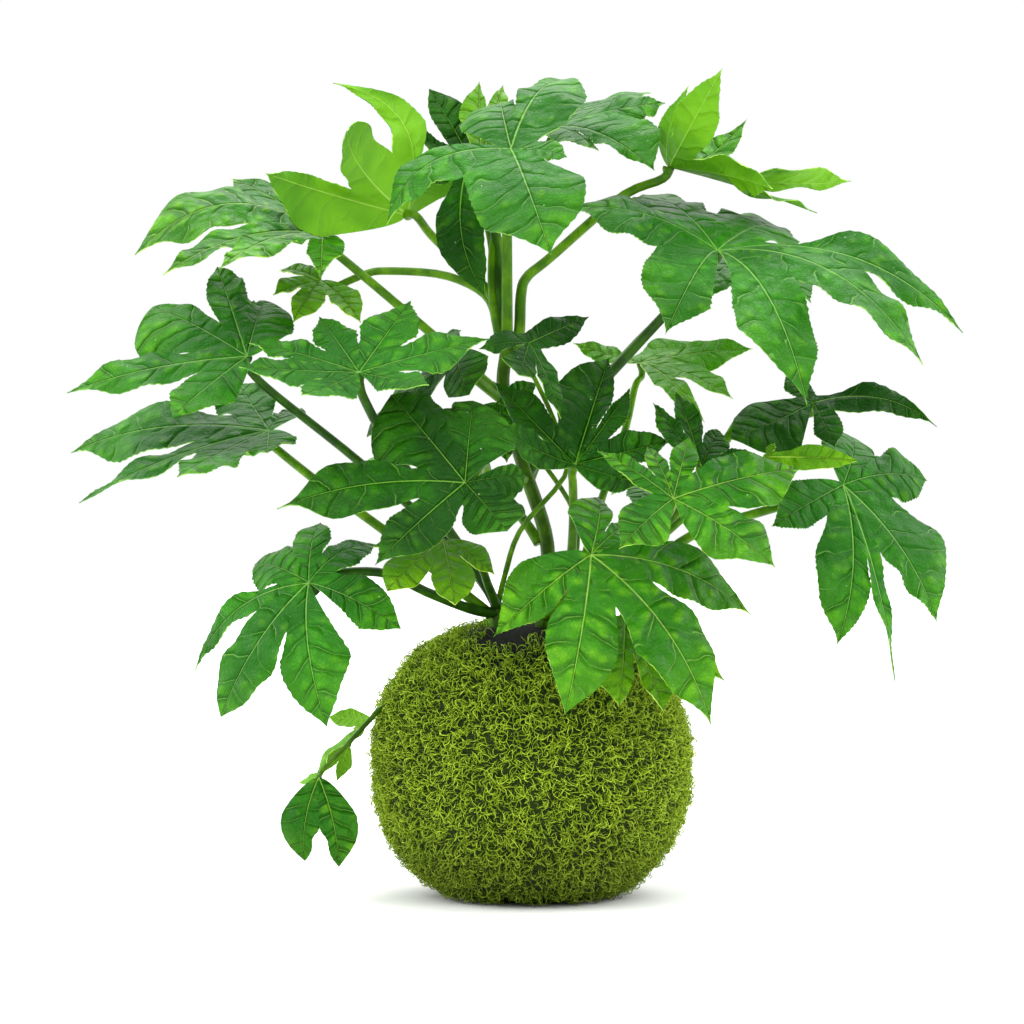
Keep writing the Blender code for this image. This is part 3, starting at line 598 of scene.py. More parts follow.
class Lobe:
    """One lobe of a leaf: its midrib bends from the leaf's plane at the hub to its tip."""

    BEND_AT = 0.52
    SWELL = 0.9
    BELLY_AT = 0.36
    NOTCH_BELLY_AT = 0.48
    NOTCH_FULLNESS = 0.6
    TAPER = (2.0, 0.8)

    def __init__(self, hub: Vector, tip: Vector, normal: Vector, bends: tuple, taper: tuple,
                 fold: float) -> None:
        """Sets up the lobe's directions and midrib.

        Args:
            hub: where all midribs meet.
            tip: the lobe's tip.
            normal: the leaf's normal on its glossy side.
            bends: half width, roll in degrees, bow to the right and rise. All but the roll are
                parts of the length.
            taper: how full the lobe is towards its tip, and how thinly its point is drawn out.
            fold: how steeply the halves rise from the midrib.
        """
        width, roll, bow, rise = bends
        ray = tip - hub
        self.normal = normal
        self.along = (ray - normal * ray.dot(normal)).normalized()
        self.right = self.along.cross(normal)
        self.length = ray.length
        self.belly = width * self.length
        self.roll = math.radians(roll)
        self.taper = taper
        self.fold = fold
        self.start = hub
        way = self.along * self.BEND_AT + self.right * bow + normal * rise
        self.bend = hub + way * self.length
        self.tip = tip

    def point(self, flat: Vector) -> Vector:
        """Where a point of the flat leaf lies on the bent lobe.

        Args:
            flat: a vector from the hub in the leaf's plane.

        Returns:
            The point in space.
        """
        part = flat.dot(self.along) / self.length
        beside = flat.dot(self.right)
        rest = 1.0 - part
        rib = self.start * rest * rest + self.bend * 2.0 * part * rest + self.tip * part * part
        run = ((self.bend - self.start) * rest + (self.tip - self.bend) * part).normalized()
        up = self.right.cross(run)
        turn = self.roll * max(part, 0.0)
        side = self.right * math.cos(turn) + up * math.sin(turn)
        lift = self.fold * abs(beside) - self.SWELL * beside * beside / self.length
        return rib + side * beside + side.cross(run) * lift

    def free_width(self, step: float, neck: float, belly: float) -> float:
        """Half width of the free part, from the sinus at step 0 to the tip at step 1."""
        if step < self.BELLY_AT:
            return neck + (belly - neck) * smooth(step / self.BELLY_AT)
        return belly * self.narrowing((step - self.BELLY_AT) / (1.0 - self.BELLY_AT))

    def narrowing(self, part: float) -> float:
        """What is left of the full width, from the widest place at 0 to the tip at 1."""
        fullness, drip = self.taper
        return max(1.0 - part ** fullness, 0.0) ** (1.0 + drip * part)

    def notch_width(self, part: float) -> float:
        """Half width on the side of the stalk's notch, which is free from the hub on."""
        if part < self.NOTCH_BELLY_AT:
            return self.belly * (part / self.NOTCH_BELLY_AT) ** self.NOTCH_FULLNESS
        return self.belly * self.narrowing((part - self.NOTCH_BELLY_AT) / (1.0 - self.NOTCH_BELLY_AT))


def lobes_of(leaf: Leaf) -> tuple:
    """The leaf's lobes, its hub and its normal on the glossy side."""
    hub = sight(leaf.hub)
    tips = [sight(tip) for tip in leaf.tips]
    normal = Vector()
    for first, second in zip(tips, tips[1:]):
        normal += (first - hub).cross(second - hub)
    normal.normalize()
    lobes = []
    for number, (place, tip) in enumerate(zip(leaf.tips, tips)):
        bends = (*place[3:], *(leaf.width, 0.0, 0.0, leaf.arch)[len(place) - 3:])
        lobes.append(Lobe(hub, tip, normal, bends, leaf.tapers.get(number, Lobe.TAPER), leaf.fold))
    return lobes, hub, normal


TOOTHING = {Tone.MATURE: 1.0, Tone.DARK: 0.7, Tone.BRIGHT: 0.6, Tone.YOUNG: 0.4, Tone.YELLOW: 0.35}


@dataclass
class LeafBlade:
    """A leaf's blade with toothed, wavy margins: a grid for each lobe, joined along the webs."""

    name: str
    leaf: Leaf
    across: int = 10
    row_length: float = 2.0 * MM
    thickness: float = 0.55 * MM
    web_part: float = 0.3
    fade: float = 0.25
    neck: float = 0.72
    named_neck: float = 1.0
    room: float = 0.5
    named_room: float = 0.62
    least_share: float = 0.32
    notch_room: float = 0.72
    widest_half: float = math.radians(80)
    tooth_rows: int = 2
    tooth: float = 0.75 * MM
    tooth_sizes: tuple = (0.35, 1.3)
    tooth_rise: float = 6.0
    tooth_end: float = 8.0
    wave: float = 0.022
    wave_counts: tuple = (2.2, 3.4)
    wave_end: float = 4.0
    crowding: float = 1.2
    seam: float = 0.02 * MM
    rim_angle: float = math.radians(55)

    def __post_init__(self) -> None:
        """Works out the lobes, and a seeded source of chance that is the leaf's own."""
        self.lobes, self.hub, self.normal = lobes_of(self.leaf)
        self.chance = random.Random(self.name)
        longest = max(lobe.length for lobe in self.lobes)
        self.rows = max(12, round(longest / self.row_length))
        self.web_rows = round(self.web_part * self.rows)

    def shares(self, first: Lobe, second: Lobe) -> tuple:
        """Each lobe's share of the angle from the first to the second, by their widths."""
        turn = math.atan2(self.normal.dot(first.along.cross(second.along)),
                          first.along.dot(second.along))
        share = first.belly / (first.belly + second.belly)
        share = min(max(share, self.least_share), 1.0 - self.least_share)
        return turn % math.tau * share, turn % math.tau * (1.0 - share)

    def reach(self, lobe: Lobe, other: Lobe, angles: tuple, gap: int) -> float:
        """How far the web between two lobes reaches from the hub.

        Args:
            lobe: one lobe.
            other: its neighbour.
            angles: their shares of the angle between them.
            gap: the number of the tip before the web.

        Returns:
            The way from the hub to the sinus.
        """
        leaf = self.leaf
        part, neck = (leaf.webs[gap], self.named_neck) if gap in leaf.webs else (leaf.sinus, self.neck)
        least = min(lobe.belly / math.sin(angles[0]), other.belly / math.sin(angles[1]))
        return min(part * min(lobe.length, other.length), neck * least)

    def edge(self, lobe: Lobe, other: Lobe | None, angles: tuple, side: int, row: int, teeth: list,
             gap: int) -> Vector:
        """A point on the lobe's margin in the flat leaf.

        Args:
            lobe: the lobe.
            other: its neighbour on that side, or None beside the stalk's notch.
            angles: the lobe's and its neighbour's shares of the angle between them.
            side: 1 on the right, -1 on the left.
            row: the row's number from the hub.
            teeth: each tooth's size, as a part of the usual one.
            gap: the number of the tip before the gap on that side.

        Returns:
            The point, as a vector from the hub.
        """
        part = row / self.rows
        half = angles[0]
        slope = math.tan(min(half, self.widest_half))
        tooth = self.tooth * (row % self.tooth_rows) / (self.tooth_rows - 1) * teeth[row // self.tooth_rows]
        tooth *= TOOTHING[self.leaf.tone] / max(lobe.taper[0] - 1.0, 0.7)
        if other is None:
            width = min(lobe.notch_width(part), self.notch_room * part * lobe.length * slope)
            width += tooth * smooth(part * 3.0 - 0.5) * smooth((1.0 - part) * self.tooth_end)
            return lobe.along * part * lobe.length + lobe.right * side * width
        room = self.named_room if gap in self.leaf.webs else self.room
        belly = min(lobe.belly, room * lobe.length * slope)
        reach = self.reach(lobe, other, angles, gap)
        if row <= self.web_rows:
            ray = lobe.along * math.cos(half) + lobe.right * side * math.sin(half)
            return ray * reach * row / self.web_rows
        start = reach * math.cos(half) / lobe.length
        step = (row - self.web_rows) / (self.rows - self.web_rows)
        part = start + (1.0 - start) * step
        width = lobe.free_width(step, reach * math.sin(half), belly)
        width += tooth * smooth(step * self.tooth_rise) * smooth((1.0 - step) * self.tooth_end)
        return lobe.along * part * lobe.length + lobe.right * side * width

    def shape_lobe(self, bm: bmesh.types.BMesh, number: int) -> None:
        """Adds one lobe's grid to the blade, bent to its place, with its vein coordinates.

        Args:
            bm: the blade.
            number: the lobe's number.
        """
        lobe = self.lobes[number]
        before = self.lobes[number - 1] if number else None
        after = self.lobes[number + 1] if number + 1 < len(self.lobes) else None
        angles = {1: self.shares(before or self.lobes[-1], lobe)[::-1],
                  -1: self.shares(lobe, after or self.lobes[0])}
        teeth = {side: [self.chance.uniform(*self.tooth_sizes) for _ in range(self.rows)]
                 for side in (1, -1)}
        phase = {side: self.chance.uniform(0.0, math.tau) for side in (1, -1)}
        waves = self.chance.uniform(*self.wave_counts) * math.tau
        grid = bmesh.ops.create_grid(bm, x_segments=self.across, y_segments=self.rows, size=1.0)
        flats = {}
        for vert in grid["verts"]:
            row = round((vert.co.y + 1.0) / 2.0 * self.rows)
            side = 1 if vert.co.x > 0 else -1
            out = abs(vert.co.x)
            other = before if side > 0 else after
            part = row / self.rows
            gap = number - 1 if side > 0 else number
            edge = self.edge(lobe, other, angles[side], side, row, teeth[side], gap)
            flat = (lobe.along * part * lobe.length).lerp(edge, out ** self.crowding)
            place = lobe.point(flat)
            past_web = smooth((part - self.web_rows / self.rows) / self.fade)
            if other:
                place = place.lerp(other.point(flat), 0.5 * smooth(out) * (1.0 - past_web))
            ripple = math.sin(part * waves + phase[side]) * out * out * self.wave * lobe.length
            vert.co = place + self.normal * ripple * past_web * smooth((1.0 - part) * self.wave_end)
            flats[vert] = (flat.dot(lobe.right) / lobe.length, flat.dot(lobe.along) / lobe.length)
        veins = bm.loops.layers.uv.verify()
        for face in {face for vert in grid["verts"] for face in vert.link_faces}:
            for loop in face.loops:
                loop[veins].uv = flats[loop.vert]

    def build(self, materials: list) -> bpy.types.Object:
        """Makes the blade.

        Args:
            materials: the finishes of the upper side, the underside and the rim.

        Returns:
            The finished piece.
        """
        bm = bmesh.new()
        for number in range(len(self.lobes)):
            self.shape_lobe(bm, number)
        bmesh.ops.remove_doubles(bm, verts=bm.verts, dist=self.seam)
        made = add_piece(self.name + "_blade", bm, materials, self.leaf.tone.value, self.name)
        solid = made.modifiers.new("Thickness", "SOLIDIFY")
        solid.thickness = self.thickness
        solid.offset = 0.0
        solid.material_offset = 1
        solid.material_offset_rim = 2
        apply_modifiers(made)
        made.data.set_sharp_from_angle(angle=self.rim_angle)
        return made


def apply_modifiers(thing: bpy.types.Object) -> None:
    """Turns an object's evaluated shape into its mesh."""
    bpy.context.view_layer.update()
    whole = bpy.data.meshes.new_from_object(thing.evaluated_get(bpy.context.evaluated_depsgraph_get()))
    old = thing.data
    thing.modifiers.clear()
    thing.data = whole
    bpy.data.meshes.remove(old)


@dataclass(frozen=True)
class LeafFinish:
    """Living leaf tissue under a thin wax: a smooth, half-glossy skin, quilted between its pale
    veins, and a duller, paler underside. Colours are sRGB."""

    tone: Tone
    skin: str
    shade: str
    vein: str
    under: str
    under_shade: str
    rim: str
    gloss: float
    quilt: float = 1.0
    specks: float = 0.0
    youth: float = 0.5
    ior: float = 1.45
    shine: float = 0.15
    side_veins: float = 6.5
    vein_slope: float = 0.75
    vein_curve: float = 1.3
    vein_lag: float = 0.43
    vein_wander: float = 1.5
    midrib: float = 0.0051
    relief: float = 2.0 * MM
    # how far the blister tops are lightened as a painted highlight
    painted_highlight: float = 0.3
    patch: float = 38.0 * MM
    mottle: float = 6.0 * MM
    blister: float = 7.0 * MM
    net_cell: float = 2.4 * MM
    net_height: float = 0.09
    stray_size: float = 22.0 * MM
    fading_size: float = 11.0 * MM
    youth_spread: float = 0.9
    speck: str = "#c9dfb8"
    speck_cell: float = 6.0 * MM

    def veins(self, tree: bpy.types.NodeTree) -> tuple:
        """The leaf's veins and its quilting, from its vein coordinates.

        Args:
            tree: the material's node tree.

        Returns:
            Sockets of the midrib, the side veins and the creases they lie in, 0 to 1 each, of how
            far the tissue swells between them, of the fine net of veins, of the blade's relief and
            of the place on the plant.
        """
        place = add_node(tree, "UVMap").outputs[0]
        parts = add_node(tree, "SeparateXYZ", {0: place})
        spot = add_node(tree, "TexCoord").outputs["Object"]
        stray = add_node(tree, "TexNoise", {"Vector": spot, "Scale": 1.0 / self.stray_size, "Detail": 2.0})
        fickle = add_node(tree, "TexNoise", {"Vector": spot, "Scale": 1.0 / self.fading_size, "Detail": 1.0})
        beside = sum_of(tree, "ABSOLUTE", parts.outputs[0])
        right = sum_of(tree, "GREATER_THAN", parts.outputs[0], 0.0)
        thinning = sum_of(tree, "MULTIPLY_ADD", parts.outputs[1], -0.8 * self.midrib, self.midrib)
        midrib = ramp(tree, sum_of(tree, "DIVIDE", beside, thinning), 0.35, 1.35, 1.0, 0.0)
        trough = ramp(tree, sum_of(tree, "DIVIDE", beside, thinning), 0.6, 4.5)
        lean = sum_of(tree, "MULTIPLY_ADD", beside, -self.vein_slope, parts.outputs[1])
        square = sum_of(tree, "MULTIPLY", beside, beside)
        bent = sum_of(tree, "MULTIPLY_ADD", square, self.vein_curve, lean)
        lag = sum_of(tree, "MULTIPLY", right, self.vein_lag)
        count = sum_of(tree, "MULTIPLY_ADD", bent, self.side_veins, lag)
        wander = sum_of(tree, "MULTIPLY_ADD", stray.outputs[0], self.vein_wander, count)
        cell = sum_of(tree, "PINGPONG", wander, 0.5)
        fading = ramp(tree, fickle.outputs[0], 0.38, 0.62, 0.15, 1.0)
        side = sum_of(tree, "MULTIPLY", ramp(tree, cell, 0.006, 0.03, 1.0, 0.0), fading)
        crease = sum_of(tree, "MULTIPLY", ramp(tree, cell, 0.0, 0.13, 1.0, 0.0), fading)
        dome = sum_of(tree, "MULTIPLY", ramp(tree, cell, 0.0, 0.3),
                      ramp(tree, stray.outputs[0], 0.3, 0.55))
        blisters = add_node(tree, "TexVoronoi", {"Vector": spot, "Scale": 1.0 / self.blister,
                                                 "Smoothness": 0.6}, feature="SMOOTH_F1")
        net = add_node(tree, "TexVoronoi", {"Vector": spot, "Scale": 1.0 / self.net_cell},
                       feature="DISTANCE_TO_EDGE")
        swell = sum_of(tree, "MULTIPLY_ADD", blisters.outputs["Distance"], -0.9,
                       sum_of(tree, "MULTIPLY_ADD", dome, 0.5, 0.6))
        height = sum_of(tree, "MULTIPLY_ADD", swell, 1.3 * self.quilt,
                        sum_of(tree, "MULTIPLY", crease, -0.35 * self.quilt))
        height = sum_of(tree, "MULTIPLY_ADD", ramp(tree, net.outputs["Distance"], 0.0, 0.2),
                        self.net_height, height)
        height = sum_of(tree, "MULTIPLY_ADD", trough, 0.5, height)
        mesh = ramp(tree, net.outputs["Distance"], 0.0, 0.16, 1.0, 0.0)
        return midrib, side, crease, swell, mesh, height, spot

    def young_tips(self, tree: bpy.types.NodeTree, patches: bpy.types.Node) -> bpy.types.NodeSocket:
        """How far the green has the yellow of young tissue, towards the tips and margins."""
        parts = add_node(tree, "SeparateXYZ", {0: add_node(tree, "UVMap").outputs[0]})
        beside = sum_of(tree, "ABSOLUTE", parts.outputs[0])
        out = sum_of(tree, "MULTIPLY_ADD", beside, self.youth_spread, parts.outputs[1])
        stray = sum_of(tree, "MULTIPLY_ADD", patches.outputs[0], self.youth_spread, out)
        return ramp(tree, stray, 0.95, 1.65, 0.0, self.youth)

    def upper(self) -> bpy.types.Material:
        """The glossy upper side, with sunk pale veins and soft blisters between them. Painted shade darkens
        the hollows between the blisters, the side-vein creases and the fine vein net, and a painted
        highlight lightens the blister tops.
        """
        made, tree, shader = fresh_material(self.tone.value + "_upper", self.gloss, self.ior)
        shader.inputs["Specular IOR Level"].default_value = self.shine
        midrib, side, crease, swell, mesh, height, spot = self.veins(tree)
        patches = add_node(tree, "TexNoise", {"Vector": spot, "Scale": 1.0 / self.patch, "Detail": 2.0})
        mottle = add_node(tree, "TexNoise", {"Vector": spot, "Scale": 1.0 / self.mottle, "Detail": 3.0})
        ground = blend(tree, ramp(tree, patches.outputs[0], 0.36, 0.64), linear(self.shade),
                       linear(self.skin))
        ground = blend(tree, ramp(tree, mottle.outputs[0], 0.35, 0.7, 0.0, 0.45), ground,
                       linear(self.shade))
        ground = blend(tree, ramp(tree, mottle.outputs[0], 0.62, 0.8, 0.0, 0.18), ground,
                       linear(self.vein))
        ground = blend(tree, self.young_tips(tree, patches), ground, linear(self.under))
        # painted shade: the hollows between the blisters are darkened towards the shade colour
        ground = blend(tree, ramp(tree, swell, 0.3, 0.75, 0.5, 0.0), ground, linear(self.shade))
        # painted highlight: the blister tops are lightened towards the underside colour
        ground = blend(tree, ramp(tree, swell, 0.6, 1.0, 0.0, self.painted_highlight), ground, linear(self.under))
        # painted shade: the sunken side-vein creases are darkened towards the shade colour
        ground = blend(tree, sum_of(tree, "MULTIPLY", crease, 0.3), ground, linear(self.shade))
        # painted shade: the sunken lines of the fine vein net are darkened towards the shade colour
        ground = blend(tree, sum_of(tree, "MULTIPLY", mesh, 0.22), ground, linear(self.shade))
        colour = blend(tree, sum_of(tree, "MULTIPLY", side, 0.3), ground, linear(self.vein))
        colour = blend(tree, sum_of(tree, "MULTIPLY", midrib, 0.62), colour, linear(self.vein))
        if self.specks:
            spots = add_node(tree, "TexVoronoi", {"Vector": spot, "Scale": 1.0 / self.speck_cell})
            chosen = add_node(tree, "SeparateColor", {0: spots.outputs["Color"]})
            dot = ramp(tree, spots.outputs["Distance"], 0.03, 0.075, 1.0, 0.0)
            dot = sum_of(tree, "MULTIPLY", dot, ramp(tree, chosen.outputs[0], 1.0 - self.specks, 1.0))
            colour = blend(tree, sum_of(tree, "MULTIPLY", dot, 0.7), colour, linear(self.speck))
        tree.links.new(colour, shader.inputs["Base Color"])
        bump = add_node(tree, "Bump", {"Height": height, "Strength": 1.0, "Distance": self.relief})
        tree.links.new(bump.outputs[0], shader.inputs["Normal"])
        return made

    def lower(self) -> bpy.types.Material:
        """The dull underside, paler, with slightly raised veins."""
        made, tree, shader = fresh_material(self.tone.value + "_underside", 0.6, self.ior)
        shader.inputs["Specular IOR Level"].default_value = 0.25
        midrib, side, crease, _, _, height, spot = self.veins(tree)
        patches = add_node(tree, "TexNoise", {"Vector": spot, "Scale": 1.0 / self.patch, "Detail": 2.0})
        ground = blend(tree, ramp(tree, patches.outputs[0], 0.36, 0.64), linear(self.under_shade),
                       linear(self.under))
        ground = blend(tree, sum_of(tree, "MULTIPLY", crease, 0.25), ground, linear(self.under_shade))
        colour = blend(tree, sum_of(tree, "MULTIPLY", side, 0.2), ground, linear(self.vein))
        colour = blend(tree, sum_of(tree, "MULTIPLY", midrib, 0.7), colour, linear(self.vein))
        tree.links.new(colour, shader.inputs["Base Color"])
        bump = add_node(tree, "Bump", {"Height": height, "Strength": 0.35, "Distance": self.relief},
                        invert=True)
        tree.links.new(bump.outputs[0], shader.inputs["Normal"])
        return made

    def margin(self) -> bpy.types.Material:
        """The thin pale rim, where the blade has no green layer."""
        made, tree, shader = fresh_material(self.tone.value + "_rim", 0.45, self.ior)
        spot = add_node(tree, "TexCoord").outputs["Object"]
        stray = add_node(tree, "TexNoise", {"Vector": spot, "Scale": 1.0 / (6.0 * MM)})
        colour = blend(tree, ramp(tree, stray.outputs[0], 0.4, 0.6), linear(self.skin), linear(self.rim))
        tree.links.new(colour, shader.inputs["Base Color"])
        return made

    def make(self) -> list:
        """The finishes of the upper side, the underside and the rim."""
        return [self.upper(), self.lower(), self.margin()]


LEAF_FINISHES = (
    LeafFinish(Tone.MATURE, skin="#2e7e0a", shade="#185a04", vein="#8ec45c", under="#5fa010",
               under_shade="#47820e", rim="#86bb3c", gloss=0.42, quilt=0.9, specks=0.5, youth=0.3),
    LeafFinish(Tone.DARK, skin="#216206", shade="#0f3d02", vein="#78b03a", under="#457e0e",
               under_shade="#35680c", rim="#6ca52c", gloss=0.4, quilt=0.8, specks=0.6, shine=0.1,
               youth=0.25),
    LeafFinish(Tone.BRIGHT, skin="#3c880b", shade="#1c5e05", vein="#a5d055", under="#6cac12",
               under_shade="#50900a", rim="#a3cf3e", gloss=0.36, quilt=1.3, specks=0.15,
               painted_highlight=0.45),
    LeafFinish(Tone.YOUNG, skin="#5ea010", shade="#438a08", vein="#b4dc5e", under="#78b41c",
               under_shade="#62a012", rim="#b4da64", gloss=0.42, quilt=0.8, painted_highlight=0.2),
    LeafFinish(Tone.YELLOW, skin="#6ba40c", shade="#478406", vein="#b3d550", under="#7bb010",
               under_shade="#5b9408", rim="#c2da56", gloss=0.42, quilt=0.7),
)


# Shoots: the way of each stem from the soil up, its radius at both ends
SHOOTS = {
    "shoot_main": ([(5, 3, 112.0), (7, 3, 138), (8, 3, 176), (-3, 1, 212), (-11, 0, 238),
                    (-14, 0, 256), (-12, 1, 274)], 3.8, 3.2),
    "shoot_left": ([(-14, -3, 112.0), (-16, -4, 134), (-18, -5, 148)], 3.8, 2.8),
    "shoot_right": ([(17, -8, 112.0), (18, -9, 134), (19, -10, 148)], 3.8, 2.8),
    "shoot_front": ([(2, -17, 112.0), (5, -18, 134), (8, -19, 144)], 3.6, 2.6),
    "shoot_back": ([(3, 17, 112.0), (5, 17, 134), (8, 18, 146)], 3.6, 2.6),
    "shoot_trailing": ([(-66, -16, 92), (-75, -24, 93), (-81, -30, 87), (-93, -37, 74), (-104, -40, 63)],
                       1.5, 0.9),
}
DARK_STALKS = ("leaf_upper_right", "leaf_left", "leaf_left_inner", "leaf_top_hanging", "leaf_lower_left",
               "leaf_lower_bright", "leaflet_trailing_strap")


@dataclass(frozen=True)
class StalkFinish:
    """Smooth green bark: a young stem's half-glossy skin, streaked along and darker with age."""

    name: str
    skin: str
    shade: str
    gloss: float = 0.38
    shine: float = 0.2
    ior: float = 1.45
    streak: float = 3.5 * MM

    def make(self) -> bpy.types.Material:
        """The finish as a material."""
        made, tree, shader = fresh_material(self.name, self.gloss, self.ior)
        shader.inputs["Specular IOR Level"].default_value = self.shine
        spot = add_node(tree, "TexCoord").outputs["Object"]
        wide = add_node(tree, "TexNoise", {"Vector": spot, "Scale": 1.0 / (9.0 * MM), "Detail": 2.0})
        drawn = add_node(tree, "Mapping", {"Vector": spot, "Scale": (1.0, 1.0, 0.15)})
        fine = add_node(tree, "TexNoise", {"Vector": drawn.outputs[0], "Scale": 3.0 / self.streak,
                                           "Detail": 3.0})
        ground = blend(tree, ramp(tree, wide.outputs[0], 0.36, 0.66), linear(self.shade),
                       linear(self.skin))
        colour = blend(tree, ramp(tree, fine.outputs[0], 0.4, 0.75, 0.0, 0.35), ground,
                       linear(self.shade))
        tree.links.new(colour, shader.inputs["Base Color"])
        bump = add_node(tree, "Bump", {"Height": fine.outputs[0], "Strength": 0.35, "Distance": 0.3 * MM})
        tree.links.new(bump.outputs[0], shader.inputs["Normal"])
        return made


STALK_FINISHES = (
    StalkFinish("young_stalk", skin="#5c8c06", shade="#3c6a04"),
    StalkFinish("dark_stalk", skin="#325e0a", shade="#20440a"),
    StalkFinish("stem_bark", skin="#466e04", shade="#2e4e04"),
)


@dataclass
class Shoot:
    """A stem with its leaves' stalks. Every tube is drawn out ring by ring from one circle."""

    name: str
    places: list
    low: float
    high: float
    sides: int = 12
    stem_rings: int = 40
    stalk_rings: int = 30
    stub: float = 7.0 * MM
    flare: float = 0.35
    collar: float = 0.35
    blade: float = 0.3 * MM

    def tube(self, bm: bmesh.types.BMesh, places: list, radii: list, finish: int) -> None:
        """Adds a closed tube.

        Args:
            bm: the mesh that takes the tube.
            places: the middle of each ring.
            radii: each ring's radius.
            finish: the tube's material index.
        """
        old = set(bm.faces)
        aim = (places[1] - places[0]).normalized()
        turn = Vector((0.0, 0.0, 1.0)).rotation_difference(aim)
        last = Matrix.LocRotScale(places[0], turn, Vector.Fill(3, radii[0]))
        start = bmesh.ops.create_circle(bm, cap_ends=True, segments=self.sides, radius=1.0, matrix=last)
        cap = [face for vert in start["verts"][:1] for face in vert.link_faces]
        cap[0].normal_flip()
        edges = list(cap[0].edges)
        for number in range(1, len(places)):
            way = places[min(number + 1, len(places) - 1)] - places[number - 1]
            turn = aim.rotation_difference(way.normalized()) @ turn
            aim = way.normalized()
            step = Matrix.LocRotScale(places[number], turn, Vector.Fill(3, radii[number]))
            drawn = bmesh.ops.extrude_edge_only(bm, edges=edges)["geom"]
            verts = [part for part in drawn if isinstance(part, bmesh.types.BMVert)]
            edges = [part for part in drawn if isinstance(part, bmesh.types.BMEdge)]
            bmesh.ops.transform(bm, matrix=step @ last.inverted(), verts=verts)
            last = step
        bmesh.ops.contextual_create(bm, geom=edges)
        new = [face for face in bm.faces if face not in old]
        for face in new:
            face.material_index = finish
        bmesh.ops.recalc_face_normals(bm, faces=new)

    def stalk(self, bm: bmesh.types.BMesh, leaf: Leaf, dark: bool) -> None:
        """Adds one leaf's stalk, from under its hub to the stem.

        Args:
            bm: the shoot's mesh.
            leaf: the leaf.
            dark: whether the stalk has the darker finish.
        """
        _, hub, normal = lobes_of(leaf)
        foot = [sight(place) for place in leaf.stalk]
        if len(foot) == 1:
            ways = curve_through([hub - normal * self.blade, *foot], self.stalk_rings // 3)
        else:
            ways = curve_through([hub - normal * self.blade, hub - normal * self.stub, *foot],
                                 self.stalk_rings)
        radii = []
        for number in range(len(ways)):
            part = number / (len(ways) - 1)
            swell = 1.0 + self.flare * part ** 2 + self.collar * (1.0 - smooth(part * 9.0))
            radii.append(leaf.thick * MM * swell)
        self.tube(bm, ways, radii, 1 if dark else 0)

    def build(self, materials: list) -> bpy.types.Object:
        """Makes the shoot.

        Args:
            materials: the finishes of the bright stalks, the dark stalks and the stem.

        Returns:
            The finished piece.
        """
        bm = bmesh.new()
        ways = curve_through([sight(place) for place in self.places], self.stem_rings)
        radii = []
        for number in range(len(ways)):
            part = number / (len(ways) - 1)
            radii.append((self.low + (self.high - self.low) * part) * MM)
        self.tube(bm, ways, radii, 2)
        for name, leaf in LEAVES.items():
            if leaf.shoot == self.name:
                self.stalk(bm, leaf, name in DARK_STALKS)
        return add_piece(self.name + "_stalks", bm, materials, "stalk", self.name)


